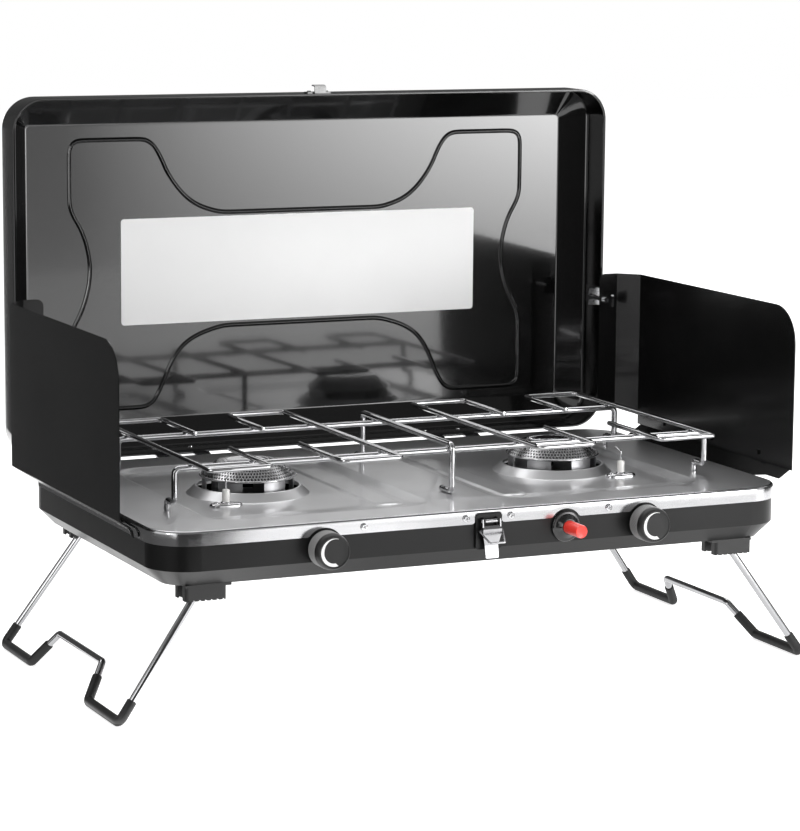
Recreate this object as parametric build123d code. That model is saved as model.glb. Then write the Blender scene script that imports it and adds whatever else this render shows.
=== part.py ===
from build123d import *
import math
import os

os.makedirs("parts", exist_ok=True)

# Two-burner camping stove, millimetres.
# While it is drawn, X runs to the right, Y to the rear from the front face, and Z up from the cooktop.
# At the end everything moves so that the origin lies at the middle of the floor under the stove.

# Driving sizes
width = 560.0
depth = 326.0
corner_radius = 35.0
sheet = 1.0
band_height = 11.6
side_bottom = -31.7
case_bottom = -45.0
chamfer_inset = 13.0
case_wall = 1.2

# Lid
lid_half_width = width / 2 + 4.0
lid_front = depth + 14.0
lid_crease = lid_front + 33.4
lid_panel = lid_front + 46.0
lid_foot = -0.7
lid_top = depth - 14.0
lid_corner = 28.0
lid_border = 25.0
lid_lip = 2.2
emboss_half_width = 1.6
emboss_height = 1.1
label_margin = 112.0
label_half_width = lid_half_width - label_margin
label_height = 0.302 * lid_top
label_z = lid_top / 2 - 0.5
hinge_y = depth + 6.1
hinge_z = -5.7
hinge_x = 132.0
hinge_half = 25.0
hinge_pin_radius = 1.5
hinge_clearance = 0.05
hinge_leaf_depth = 34.0
hinge_rivet_y = lid_front + 26.0

# Burners
burner_x = width / 4 + 1.5
burner_y = depth / 2
opening_radius = 42.5
ring_radius = 50.5
ring_top = 2.4
basin_depth = 4.4
plateau_half = 28.0
basin_far = width / 2 - 58.0
basin_front = 31.0
basin_rear = depth - 41.0
rib_x = 56.5
rib_width = 25.0
rib_front = 58.0
rib_rear = depth - 62.0
rib_height = 1.5
cap_radius = 40.5
cap_rim_z = 9.6
cap_top_z = 21.5
cap_top_radius = 27.0

# Grate
pot_wire_radius = 2.1
bar_radius = 2.5
pot_wire_z = 40.8
weld = 0.05
grate_front = 31.0
grate_rear = depth - 45.5
front_bar_y = 73.0
rear_bar_inset = 104.0
rear_bar_y = depth - rear_bar_inset
centre_rear_y = depth - 78.0
centre_front_toe = 20.0
centre_rear_toe = 14.0
front_leg_x = width / 2 - 40.0
rear_leg_x = width / 2 - 46.0
outer_wire_x = width / 2 - 54.0
outer_finger_x = outer_wire_x - 52.0
inner_wire_x = 61.5
inner_finger_x = inner_wire_x + 51.5
front_tip_y = burner_y - 41.0
rear_tip_y = burner_y + 36.5

# Front controls
knob_x = burner_x + 1.0
knob_z = -21.0
knob_radius = 14.7
knob_front = -20.0
stem_radius = 3.0
igniter_x = 70.0
igniter_z = -19.0
button_radius = 5.4
button_front = -27.6
band_screws = (33.5 - knob_x, -20.0, 20.0, knob_x - 33.5)
screw_z = -6.5
notch_round = 3.0
latch_width = 23.2
latch_pivot_y = -4.6
latch_pivot_z = -9.0
latch_ear_z = -16.5
latch_pin_radius = 1.0
bail_radius = 0.9
lever_kink_z = -28.5
lever_end_z = -38.6

# Windscreens
screen_x = width / 2 + 21.0
screen_sheet = 0.8
screen_top = 144.3
screen_front = 30.0
screen_bend_y = depth - 27.0
screen_flange_y = depth - 11.0
screen_flange_end = width / 2 - 13.0
screen_fold_z = 6.0
screen_lip_z = -0.8
screen_lift_z = 19.0
skirt_x = width / 2 + 1.6
skirt_z = -7.0
skirt_front = 97.0
skirt_taper = 43.0
screen_hooks = (85.0, 0.506 * depth, depth - 76.0)
thumb_screw_x = width / 2 - 8.6
thumb_screw_z = 121.0
thumb_screw_shank = 2.1
bracket_y = lid_front - 1.5
bracket_sheet = 1.2
bracket_rivets = (16.5, 25.5)

# Wire legs
leg_radius = 3.0
sleeve_radius = 4.0
leg_pivot_x = width / 2 - 44.0
leg_pivot_z = -50.0
leg_floor_x = leg_pivot_x + 70.5
leg_floor_z = -149.0
leg_arm_y = 28.0
leg_toe_y = 18.0
leg_axle_bend = 4.0
leg_arm_drift = 3.0
leg_rise_y = 91.0
leg_run_y = 109.5
leg_run_share = 0.735
foot_front = 14.0
foot_length = 25.5
foot_half_width = 17.0
foot_bottom = -58.0
running_clearance = 0.05

# Gas inlet
inlet_y = 92.0
inlet_z = -21.0
inlet_bore = 4.0
inlet_end = width / 2 + 13.0
inlet_joint_x = width / 2 - 22.0

parts = {}


# General helpers


def block(x0, x1, y0, y1, z0, z1):
    centre = Pos((x0 + x1) / 2, (y0 + y1) / 2, (z0 + z1) / 2)
    return centre * Box(abs(x1 - x0), abs(y1 - y0), abs(z1 - z0))


def rod(start, end, radius):
    start, end = Vector(*start), Vector(*end)
    along = end - start
    plane = Plane(origin=start, z_dir=along)
    return plane * Cylinder(radius, along.length, align=(Align.CENTER, Align.CENTER, Align.MIN))


def wire(points, radius, bend):
    path = FilletPolyline(*points, radius=bend)
    return sweep(Plane(origin=path @ 0, z_dir=path % 0) * Circle(radius), path)


def plan(half_x, y0, y1, radius, z):
    return Pos(0, (y0 + y1) / 2, z) * RectangleRounded(2 * half_x, y1 - y0, radius)


def upright(y):
    return Plane(origin=(0, y, 0), x_dir=(1, 0, 0), z_dir=(0, -1, 0))


def side_profile(points, x0, x1):
    plane = Plane(origin=(x0, 0, 0), x_dir=(0, 1, 0), z_dir=(1, 0, 0))
    return extrude(plane * make_face(Polyline(*points, close=True)), amount=x1 - x0)


def turned(points, x, y):
    profile = make_face(Plane.XZ * Polyline(*points, close=True))
    return Pos(x, y, 0) * revolve(profile, Axis.Z)


def turned_forward(points, x, z):
    profile = make_face(Plane.XY * Polyline(*points, close=True))
    return Pos(x, 0, z) * revolve(profile, Axis.Y)


def mirrored(shape):
    return mirror(shape, about=Plane.YZ)


def pair(name, right_shape):
    parts[name + "_right"] = right_shape
    parts[name + "_left"] = mirrored(right_shape)


def both(right_shape):
    return Compound(children=right_shape.solids() + mirrored(right_shape).solids())


# Body


def case_solid(inset):
    top = plan(width / 2 - sheet - inset, sheet + inset, depth - sheet - inset, corner_radius - sheet - inset, -sheet)
    waist = side_bottom + inset * 0.4
    upper = extrude(top, amount=-(abs(waist) - sheet))
    step = chamfer_inset + inset
    wide = plan(width / 2 - sheet - inset, sheet + inset, depth - sheet - inset, corner_radius - sheet - inset, waist)
    floor = case_bottom + inset
    narrow = plan(
        width / 2 - sheet - step,
        sheet + step,
        depth - sheet - step,
        corner_radius - sheet - step,
        floor,
    )
    return upper + loft([wide, narrow], ruled=True)


def vent_slots():
    slots = []
    for side in (-1, 1):
        for row in range(5):
            slot = Pos(side * burner_x, burner_y + 44 + row * 14, case_bottom) * SlotOverall(70, 5)
            slots.append(extrude(slot, amount=4, both=True))
    return slots


def lower_case():
    shell = case_solid(0) - case_solid(case_wall)
    for side in (-1, 1):
        shell -= rod((side * knob_x, -2, knob_z), (side * knob_x, 6, knob_z), 6.0)
    shell -= rod((igniter_x, -2, igniter_z), (igniter_x, 6, igniter_z), 6.5)
    shell -= rod((width / 2 - 8, inlet_y, inlet_z), (width / 2 + 2, inlet_y, inlet_z), 7.0)
    for slot in vent_slots():
        shell -= slot
    return shell


def basin(side, grow, top, floor):
    def outline(x0, x1, y0, y1, radius, z):
        centre = Pos(side * (x0 + x1) / 2, (y0 + y1) / 2, z)
        return centre * RectangleRounded(x1 - x0 + 2 * grow, y1 - y0 + 2 * grow, radius + grow)

    high = outline(plateau_half, basin_far, basin_front, basin_rear, 30, top)
    low = outline(plateau_half + 12, basin_far - 16, basin_front + 45, basin_rear - 17, 20, floor)
    return loft([low, high], ruled=True)


def rib(side):
    centre_y = (rib_front + rib_rear) / 2
    length = rib_rear - rib_front

    def outline(inset, z):
        slot = SlotOverall(length - 2 * inset, rib_width - 2 * inset, rotation=90)
        return Pos(side * rib_x, centre_y, z) * slot

    return loft([outline(0, -basin_depth), outline(3.2, rib_height - basin_depth)], ruled=True)


def on_notch_corner(point):
    return point.Y < sheet and abs(point.Z + band_height) < 0.01 and abs(point.X) < knob_x + 20


def cooktop():
    rim = extrude(plan(width / 2, 0, depth, corner_radius, -band_height), amount=band_height)
    rim = fillet(rim.edges().group_by(Axis.Z)[-1], 2.4)
    under = plan(width / 2 - sheet, sheet, depth - sheet, corner_radius - sheet, -band_height)
    top = rim - extrude(under, amount=band_height - sheet)
    for side in (-1, 1):
        top += basin(side, 1.5, -sheet, -basin_depth - sheet)
        top -= basin(side, 0, 0, -basin_depth)
        top += rib(side)
        opening = Pos(side * burner_x, burner_y, -basin_depth) * Cylinder(ring_radius - 0.5, 8)
        top -= opening
        collar = [
            (ring_radius + 1.0, -basin_depth),
            (opening_radius + 1.6, ring_top),
            (opening_radius, ring_top),
            (opening_radius, ring_top - sheet),
            (opening_radius + 0.9, ring_top - sheet),
            (ring_radius - 0.6, -basin_depth - sheet),
            (ring_radius + 1.0, -basin_depth - sheet),
        ]
        top += turned(collar, side * burner_x, burner_y)
    for x, z, radius in ((-knob_x, knob_z, 16.2), (knob_x, knob_z, 16.2), (igniter_x, igniter_z, 14.4)):
        top -= rod((x, -3, z), (x, 3, z), radius)
    notch = upright(-3) * Pos(0, -13) * RectangleRounded(latch_width + 0.4, 20.6, 3)
    top -= extrude(notch, amount=-5)
    corners = [e for e in top.edges().filter_by(Axis.Y) if on_notch_corner(e.center())]
    top = fillet(corners, notch_round)
    for x in band_screws:
        top -= rod((x, -3, screw_z), (x, 3, screw_z), 1.6)
    return top


parts["cooktop"] = cooktop()
parts["lower_case"] = lower_case()


def band_screw(x):
    head = turned_forward([(0, 0), (3.0, 0), (2.7, -0.9), (1.6, -1.5), (0, -1.7)], x, screw_z)
    shank = rod((x, 0, screw_z), (x, sheet, screw_z), 1.55)
    slots = block(x - 1.9, x + 1.9, -2.0, -1.1, screw_z - 0.35, screw_z + 0.35)
    slots += block(x - 0.35, x + 0.35, -2.0, -1.1, screw_z - 1.9, screw_z + 1.9)
    return head + shank - slots


parts["band_screws"] = Compound(children=[band_screw(x) for x in band_screws])


# Plastic feet, each with a bore for the end of a wire leg


def front_foot():
    x, y0, y1 = leg_pivot_x, foot_front, foot_front + foot_length
    half = foot_half_width
    body = block(x - half, x + half, y0, y1, foot_bottom, case_bottom)
    body = fillet(body.edges().filter_by(Axis.Z), 2.5)
    body += block(x - half - 4, x + half, y0, y1 + 3, case_bottom - 2.0, case_bottom)
    pitch = 2 * half / 7
    for n in range(7):
        middle = x - half + (n + 0.5) * pitch
        body -= block(middle - 0.9, middle + 0.9, y0 - 1, y1 + 1, foot_bottom, foot_bottom + 1.2)
    gap = leg_radius + 0.5
    slot_end = leg_arm_y + leg_axle_bend + 0.3
    slot_start = leg_arm_y - gap - leg_arm_drift
    body -= block(x - half - 5, x + half + 1, slot_start, slot_end, foot_bottom - 1, leg_pivot_z + gap)
    bore = leg_radius + running_clearance
    return body - rod((x, slot_end - 1, leg_pivot_z), (x, y1 + 1, leg_pivot_z), bore)


def swapped_ends(shape):
    return mirror(shape, about=Plane(origin=(0, depth / 2, 0), z_dir=(0, 1, 0)))


pair("foot_front", front_foot())
pair("foot_rear", swapped_ends(front_foot()))


# Burners


def burner_base():
    bowl = turned(
        [
            (0, -34),
            (14, -34),
            (36.5, -14),
            (38.0, -12),
            (38.0, cap_rim_z),
            (36.8, cap_rim_z),
            (36.8, -11.6),
            (35.6, -13),
            (13.4, -32.6),
            (0, -32.6),
        ],
        burner_x,
        burner_y,
    )
    for n in range(6):
        window = Rot(0, 0, 60 * n + 15) * block(30, 45, -9, 9, -7.5, 6.5)
        bowl -= Pos(burner_x, burner_y, 0) * window
    for n in range(4):
        arm = Rot(0, 0, 90 * n + 45) * block(37.2, 56, -4, 4, -basin_depth - sheet - 1.2, -basin_depth - sheet)
        bowl += Pos(burner_x, burner_y, 0) * arm
    mouth = rod((burner_x, burner_y - 34, -24), (burner_x, burner_y - 16, -24), 8.05)
    return bowl - mouth


def burner_cap():
    outer = [
        (cap_radius, cap_rim_z),
        (cap_radius, cap_rim_z + 1.6),
        (cap_radius - 1.2, cap_rim_z + 1.6),
        (cap_top_radius, cap_top_z),
        (cap_top_radius - 7, cap_top_z + 0.9),
        (6, cap_top_z - 1.2),
        (0, cap_top_z - 1.2),
        (0, cap_top_z - 2.2),
        (6.4, cap_top_z - 2.2),
        (cap_top_radius - 7.4, cap_top_z - 0.1),
        (cap_top_radius - 0.7, cap_top_z - 1.0),
        (cap_radius - 2.6, cap_rim_z + 1.0),
        (cap_radius - 3.6, cap_rim_z),
    ]
    return turned(outer, burner_x, burner_y)


def mixing_tube():
    tube = rod((burner_x, 34, -24), (burner_x, burner_y - 26, -24), 8.0)
    tube -= rod((burner_x, 33, -24), (burner_x, burner_y - 25, -24), 6.8)
    for side in (-1, 1):
        tube -= block(burner_x + side * 5, burner_x + side * 9, 38, 52, -28, -20)
    return tube


pair("burner_base", burner_base())
pair("burner_cap", burner_cap())
parts["mixing_tubes"] = both(mixing_tube())


# Gas way: valves, manifold and inlet fitting


def valve():
    body = rod((knob_x, 2.2, knob_z), (knob_x, 22, knob_z), 8.0)
    body += block(knob_x - 8, knob_x + 8, 8, 22, knob_z - 9, knob_z + 6)
    body += rod((knob_x, 20, -24), (knob_x, 32, -24), 3.6)
    body -= rod((knob_x, 0, knob_z), (knob_x, 16, knob_z), stem_radius + running_clearance)
    return body


pair("valve", valve())

manifold_y = 15.0
manifold_z = -34.0
manifold_radius = 3.9
manifold = wire(
    [
        (-knob_x - 12, manifold_y, manifold_z),
        (inlet_joint_x, manifold_y, manifold_z),
        (inlet_joint_x, inlet_y, manifold_z),
        (inlet_joint_x, inlet_y, inlet_z - 3),
    ],
    manifold_radius,
    8.0,
)
parts["manifold_pipe"] = manifold


def gas_inlet():
    wall = width / 2 - sheet
    body = rod((inlet_joint_x - 8, inlet_y, inlet_z), (inlet_end, inlet_y, inlet_z), 6.5)
    nut = Plane(origin=(wall, inlet_y, inlet_z), x_dir=(0, 1, 0), z_dir=(1, 0, 0)) * RegularPolygon(9.2, 6)
    body += extrude(nut, amount=5)
    body -= rod((inlet_end - 16, inlet_y, inlet_z), (inlet_end + 1, inlet_y, inlet_z), inlet_bore)
    socket_end = (inlet_joint_x, inlet_y, inlet_z - 3)
    return body - rod((inlet_joint_x, inlet_y, manifold_z), socket_end, manifold_radius + running_clearance)


parts["gas_inlet"] = gas_inlet()


# Electrodes


def electrode_parts():
    x, y = burner_x + 39.5, burner_y - 51.0
    floor = -basin_depth
    plate = Pos(x, y, floor) * extrude(SlotOverall(28, 13), amount=1.2)
    plate += Pos(x, y, floor) * Cylinder(5.2, 3.4, align=(Align.CENTER, Align.CENTER, Align.MIN))
    ceramic = rod((x, y, floor + 3.4), (x, y, 9.6), 3.2)
    ceramic = fillet(ceramic.edges().group_by(Axis.Z)[-1], 0.8)
    tip = wire([(x, y, 9.6), (x, y, 14.5), (x - 5.5, y + 6.0, 18.5)], 0.8, 2.0)
    return plate, ceramic, tip


electrode_plate, electrode_ceramic, electrode_tip = electrode_parts()
parts["electrode_plates"] = both(electrode_plate)
parts["electrode_ceramics"] = both(electrode_ceramic)
parts["electrode_tips"] = both(electrode_tip)


# Lid


def lid_outline(inset, y):
    half = lid_half_width - inset
    height = lid_top - lid_foot - 2 * inset
    centre = Pos(0, (lid_top + lid_foot) / 2)
    return upright(y) * centre * RectangleRounded(2 * half, height, max(lid_corner - inset, 5))


def lid_solid(inset, front, crease, back):
    walls = extrude(lid_outline(inset, front), amount=front - crease)
    return walls + loft([lid_outline(inset, crease), lid_outline(inset + lid_border, back)], ruled=True)


def emboss_line():
    # The right half from the top down, in shares of the lid's half width and height
    shares = [
        (0.282, 0.660),
        (0.373, 0.689),
        (0.444, 0.760),
        (0.482, 0.840),
        (0.518, 0.873),
        (0.750, 0.873),
        (0.771, 0.853),
        (0.771, 0.679),
        (0.722, 0.606),
        (0.701, 0.506),
        (0.725, 0.407),
        (0.773, 0.330),
        (0.775, 0.131),
        (0.754, 0.112),
        (0.521, 0.112),
        (0.486, 0.141),
        (0.437, 0.250),
        (0.380, 0.304),
        (0.275, 0.335),
    ]
    half = [Vector(u * lid_half_width, v * lid_top) for u, v in shares]
    corners = half + [Vector(-p.X, p.Y) for p in reversed(half)]
    return FilletPolyline(*corners, radius=widest_bends(corners), close=True)


def widest_bends(corners):
    """The bend at each corner of a closed line, as wide as its shorter side allows."""
    bends = []
    for n, corner in enumerate(corners):
        before = corners[n - 1] - corner
        after = corners[(n + 1) % len(corners)] - corner
        turn = math.radians(180 - before.get_angle(after))
        bends.append(min(60, 0.45 * min(before.length, after.length) / math.tan(turn / 2)))
    return bends


def emboss():
    face = make_face(emboss_line())
    ring = offset(face, emboss_half_width, kind=Kind.ARC) - offset(face, -emboss_half_width, kind=Kind.ARC)
    return extrude(upright(lid_panel) * ring, amount=emboss_height)


def lid_pan():
    pan = lid_solid(0, lid_front, lid_crease, lid_panel + sheet)
    pan -= lid_solid(sheet, lid_front, lid_crease, lid_panel)
    lip = extrude(lid_outline(0, lid_front), amount=-3)
    lip -= extrude(lid_outline(lid_lip, lid_front), amount=-3)
    return pan + lip + emboss()


def label_plate():
    outline = Pos(0, label_z) * RectangleRounded(2 * label_half_width, label_height, 3)
    return extrude(upright(lid_panel) * outline, amount=0.4)


def lid_catch():
    """A bent hook that the bail pulls on when the lid is closed, held by two rivets."""
    y, z, thick = lid_front + 3.9, lid_top, 1.2
    seat_depth = 11.1
    hook = [
        (y + seat_depth, z),
        (y, z),
        (y, z + 6.2),
        (y + 2.7, z + 7.4),
        (y + 7.1, z + 7.4),
        (y + 7.1, z + 7.4 - thick),
        (y + 3.1, z + 7.4 - thick),
        (y + thick, z + 5.3),
        (y + thick, z + thick),
        (y + seat_depth, z + thick),
    ]
    catch = side_profile(hook, -5.4, 5.4) + block(-11, 11, y + 2.6, y + seat_depth, z, z + thick)
    for side in (-1, 1):
        rivet = Cylinder(1.7, 1.0, align=(Align.CENTER, Align.CENTER, Align.MIN))
        catch += Pos(side * 8.2, y + 6.8, z + thick) * rivet
    return catch


def hinge_base_leaf():
    x0, x1 = hinge_x - 10, hinge_x + 10
    plate = block(hinge_x - hinge_half, hinge_x + hinge_half, depth - sheet, depth + 0.2, -31, -14)
    profile = [
        (depth - sheet, -16),
        (depth + 0.2, -16),
        (hinge_y + 1, hinge_z - 3.0),
        (hinge_y - 1.6, hinge_z - 1.2),
        (depth - sheet, -13.6),
    ]
    arm = side_profile(profile, x0, x1) + rod((x0, hinge_y, hinge_z), (x1, hinge_y, hinge_z), 3.2)
    bore = rod((x0 - 1, hinge_y, hinge_z), (x1 + 1, hinge_y, hinge_z), hinge_pin_radius + hinge_clearance)
    return plate + arm - bore


def hinge_lid_leaf():
    under = lid_foot
    front = lid_front + 1
    plate = block(hinge_x - hinge_half, hinge_x + hinge_half, front, front + hinge_leaf_depth, under - 1.2, under)
    profile = [
        (front + 0.5, under),
        (front - 1, under),
        (hinge_y - 1.4, hinge_z + 2.2),
        (hinge_y + 0.8, hinge_z - 2.6),
        (front + 0.5, under - 1.2),
    ]
    leaf = plate
    for x0, x1 in ((hinge_x - hinge_half, hinge_x - 10.4), (hinge_x + 10.4, hinge_x + hinge_half)):
        leaf += side_profile(profile, x0, x1)
        leaf += rod((x0, hinge_y, hinge_z), (x1, hinge_y, hinge_z), 3.2)
    start = (hinge_x - hinge_half - 1, hinge_y, hinge_z)
    end = (hinge_x + hinge_half + 1, hinge_y, hinge_z)
    return leaf - rod(start, end, hinge_pin_radius)


def hinge_pin():
    start = (hinge_x - hinge_half - 1, hinge_y, hinge_z)
    end = (hinge_x + hinge_half + 1, hinge_y, hinge_z)
    return rod(start, end, hinge_pin_radius)


def lid_rivets():
    rivets = []
    for side in (-1, 1):
        for x in (hinge_x - 17, hinge_x + 17):
            centre = Pos(side * x, hinge_rivet_y, lid_foot + sheet)
            rivets.append(centre * Cylinder(2.6, 1.0, align=(Align.CENTER, Align.CENTER, Align.MIN)))
    return rivets


def screw_bracket():
    """Riveted inside the lid's side wall, with a forked tab behind the rim for the thumb screw."""
    inner = lid_half_width - sheet
    low, high = thumb_screw_z - 8.0, thumb_screw_z + 7.5
    wall = block(inner - bracket_sheet, inner, bracket_y + 6, bracket_y + 30, low, high)
    fold = inner - lid_lip
    arm = block(fold - bracket_sheet, fold, bracket_y, bracket_y + 12, low, high)
    joggle = block(fold - bracket_sheet, inner, bracket_y + 6, bracket_y + 12, low, high)
    tab = block(thumb_screw_x - 3.2, fold, bracket_y, bracket_y + bracket_sheet, low, high)
    gap = thumb_screw_shank + 0.5
    before, behind = bracket_y - 1, bracket_y + bracket_sheet + 1
    fork = block(thumb_screw_x - 5, thumb_screw_x, before, behind, thumb_screw_z - gap, thumb_screw_z + gap)
    fork += rod((thumb_screw_x, before, thumb_screw_z), (thumb_screw_x, behind, thumb_screw_z), gap)
    bracket = wall + arm + joggle + tab - fork
    for y in (bracket_y + bracket_rivets[0], bracket_y + bracket_rivets[1]):
        bracket += rod((inner - bracket_sheet - 0.9, y, thumb_screw_z), (inner - bracket_sheet, y, thumb_screw_z), 1.9)
    return bracket


parts["lid_pan"] = lid_pan()
parts["label_plate"] = label_plate()
parts["lid_catch"] = lid_catch()
parts["lid_rivets"] = Compound(children=lid_rivets())
pair("hinge_base_leaf", hinge_base_leaf())
pair("hinge_lid_leaf", hinge_lid_leaf())
parts["hinge_pins"] = both(hinge_pin())
pair("screw_bracket", screw_bracket())


# Windscreens


def standing_sheet(points, z0, z1):
    line = Polyline(*[(x, y, z0) for x, y in points])
    return extrude(trace(line, screen_sheet), amount=z1 - z0)


def rounded_edge(shape, axis, near, radius):
    edges = [e for e in shape.edges().filter_by(axis) if near(e.center())]
    return fillet(edges, radius)


def windscreen():
    half = screen_sheet / 2
    shield = block(screen_x - half, screen_x + half, screen_front, screen_bend_y, screen_fold_z, screen_top)
    shield = rounded_edge(shield, Axis.X, lambda c: c.Y < screen_front + 1 and c.Z > 100, 32)
    bend_x = screen_x - (screen_flange_y - screen_bend_y)
    line = [
        (screen_flange_end, screen_flange_y),
        (bend_x, screen_flange_y),
        (screen_x, screen_bend_y),
        (screen_x, screen_bend_y - 6),
    ]
    wing = standing_sheet(line, screen_lift_z, screen_top)
    wing = rounded_edge(wing, Axis.Y, lambda c: c.X < screen_flange_end + 1 and c.Z > 100, 6)
    section = Polyline((screen_x, screen_fold_z + 1), (screen_x, screen_fold_z), (skirt_x, skirt_z))
    skirt_length = screen_bend_y - screen_front - 10
    skirt = extrude(upright(screen_front + 4) * trace(section, screen_sheet), amount=-skirt_length)
    taper_y = skirt_front - skirt_taper
    corner = [(0, screen_lip_z), (taper_y, screen_lip_z), (skirt_front, skirt_z - 1), (skirt_front, -20), (0, -20)]
    skirt -= side_profile(corner, skirt_x - 5, screen_x + 5)
    hem = [
        (skirt_x + 1.2, screen_bend_y - 12, skirt_z + 1.6),
        (skirt_x + 1.2, taper_y + 6, skirt_z + 1.6),
        (skirt_x + 1.2, taper_y, skirt_z + 0.2),
        (skirt_x + 1.2, taper_y - 3, skirt_z - 4.4),
    ]
    screen = shield + wing + skirt + wire(hem, 1.2, 2.5)
    for y in screen_hooks:
        screen += block(screen_x - half - 1.6, screen_x - half, y - 1.8, y + 1.8, 11.6, 15.2)
    face = screen_flange_y
    x, z = thumb_screw_x, thumb_screw_z
    return screen - rod((x, face - 3, z), (x, face + 3, z), thumb_screw_shank + running_clearance)


def thumb_screw():
    """A screw with a flat thumb piece, which reaches through the screen's flange into the bracket."""
    x, z = thumb_screw_x, thumb_screw_z
    face = screen_flange_y - screen_sheet / 2
    tip = bracket_y + bracket_sheet + 1.6
    screw = rod((x, face - 10, z), (x, tip, z), thumb_screw_shank)
    screw += rod((x, face - 2.2, z), (x, face, z), 3.6)
    paddle = [(face - 8.5, z - 4.4), (face - 17.5, z - 6), (face - 17.5, z + 6), (face - 8.5, z + 4.4)]
    return screw + fillet(side_profile(paddle, x - 1.2, x + 1.2).edges().filter_by(Axis.X), 1.6)


pair("windscreen", windscreen())
pair("thumb_screw", thumb_screw())


# Knobs, igniter and latch


def knob():
    body = turned_forward(
        [
            (0, -1.4),
            (knob_radius - 0.6, -1.4),
            (knob_radius, -2.2),
            (knob_radius, -12.5),
            (knob_radius - 0.5, -13.0),
            (knob_radius - 0.5, -14.2),
            (knob_radius - 0.2, -14.6),
            (knob_radius - 1.4, knob_front + 0.6),
            (knob_radius - 2.2, knob_front),
            (knob_radius - 2.6, knob_front),
            (knob_radius - 3.0, knob_front + 0.5),
            (0, knob_front + 0.5),
        ],
        knob_x,
        knob_z,
    )
    ridges = []
    for n in range(28):
        turn = math.radians(360 / 28 * n)
        x = knob_x + (knob_radius + 0.35) * math.cos(turn)
        z = knob_z + (knob_radius + 0.35) * math.sin(turn)
        ridges.append(rod((x, -12.0, z), (x, -1.0, z), 0.9))
    return body - ridges


def valve_stem():
    return rod((knob_x, -1.4, knob_z), (knob_x, 15, knob_z), stem_radius)


pair("knob", knob())
pair("valve_stem", valve_stem())


def igniter_bezel():
    profile = [
        (button_radius + 0.1, sheet),
        (12.8, sheet),
        (12.8, -1.2),
        (11.8, -2.2),
        (10.2, -2.2),
        (button_radius + 0.9, -6.2),
        (button_radius + 0.1, -6.2),
    ]
    return turned_forward(profile, igniter_x, igniter_z)


def igniter_body():
    case = rod((igniter_x, sheet + case_wall, igniter_z), (igniter_x, 44, igniter_z), 9.0)
    neck = rod((igniter_x, sheet, igniter_z), (igniter_x, 6, igniter_z), 6.4)
    body = case + neck
    return body - rod((igniter_x, 0, igniter_z), (igniter_x, 16, igniter_z), button_radius + 0.1)


def igniter_button():
    profile = [
        (0, 6),
        (button_radius, 6),
        (button_radius, button_front + 0.6),
        (button_radius - 0.6, button_front),
        (0, button_front - 0.001),
    ]
    return turned_forward(profile, igniter_x, igniter_z)


parts["igniter_bezel"] = igniter_bezel()
parts["igniter_body"] = igniter_body()
parts["igniter_button"] = igniter_button()


def latch_plate():
    outline = Pos(0, -17.9) * RectangleRounded(latch_width, 28.8, 2.4)
    plate = extrude(upright(sheet) * outline, amount=2.2)
    ear = [
        (0, -6.0),
        (latch_pivot_y, latch_pivot_z + 2.0),
        (latch_pivot_y - 1.7, latch_pivot_z + 1.0),
        (latch_pivot_y - 1.7, latch_pivot_z - 1.0),
        (latch_pivot_y, latch_pivot_z - 2.0),
        (0, -13.0),
    ]
    for x0 in (5.5, -6.7):
        plate += side_profile(ear, x0, x0 + 1.2)
    bore = latch_pin_radius + running_clearance
    return plate - rod((-12, latch_pivot_y, latch_pivot_z), (12, latch_pivot_y, latch_pivot_z), bore)


def latch_lever():
    """Two cheeks on a pin with a roller between the ears, and a tapered face with a bent thumb tab."""
    y, z = latch_pivot_y, latch_pivot_z
    cheek = [
        (y - 1.6, z + 1.8),
        (y + 1.4, z + 1.8),
        (y + 2.0, z - 1.5),
        (y + 2.0, z - 10.0),
        (y - 1.2, z - 10.0),
        (y - 2.6, z - 7.0),
    ]
    lever = side_profile(cheek, 7.2, 8.2) + side_profile(cheek, -8.2, -7.2)
    face = [
        (y - 1.4, z - 3.6),
        (y - 3.6, z - 6.0),
        (y - 1.4, lever_kink_z),
        (y - 3.6, lever_end_z),
        (y - 2.6, lever_end_z - 0.2),
        (y - 0.3, lever_kink_z - 0.1),
        (y - 1.6, z - 7.0),
        (y - 0.4, z - 3.6),
    ]
    front = Polyline((8.2, z - 3), (8.2, z - 10), (5.9, lever_kink_z), (5.7, lever_end_z - 1))
    front += Line((5.7, lever_end_z - 1), (-5.7, lever_end_z - 1))
    front += Polyline((-5.7, lever_end_z - 1), (-5.9, lever_kink_z), (-8.2, z - 10), (-8.2, z - 3))
    front += Line((-8.2, z - 3), (8.2, z - 3))
    outline = make_face(front)
    outline = fillet(outline.vertices().group_by(Axis.Y)[0], 2.6)
    lever += side_profile(face, -8.2, 8.2) & extrude(upright(-20) * outline, amount=-20)
    lever += rod((-8.8, y, z), (8.8, y, z), latch_pin_radius) + rod((-5.2, y, z), (5.2, y, z), 1.5)
    return lever - rod((-9, y, latch_ear_z), (9, y, latch_ear_z), bail_radius + running_clearance)


def latch_bail():
    reach_y, reach_z = -12.6, -8.0
    tip_y, tip_z = latch_pivot_y + reach_y, latch_ear_z + reach_z
    points = [
        (7.4, latch_pivot_y, latch_ear_z),
        (10.2, latch_pivot_y, latch_ear_z),
        (6.6, tip_y, tip_z),
        (-6.6, tip_y, tip_z),
        (-10.2, latch_pivot_y, latch_ear_z),
        (-7.4, latch_pivot_y, latch_ear_z),
    ]
    return wire(points, bail_radius, 1.2)


parts["latch_plate"] = latch_plate()
parts["latch_lever"] = latch_lever()
parts["latch_bail"] = latch_bail()


# Grate


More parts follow.
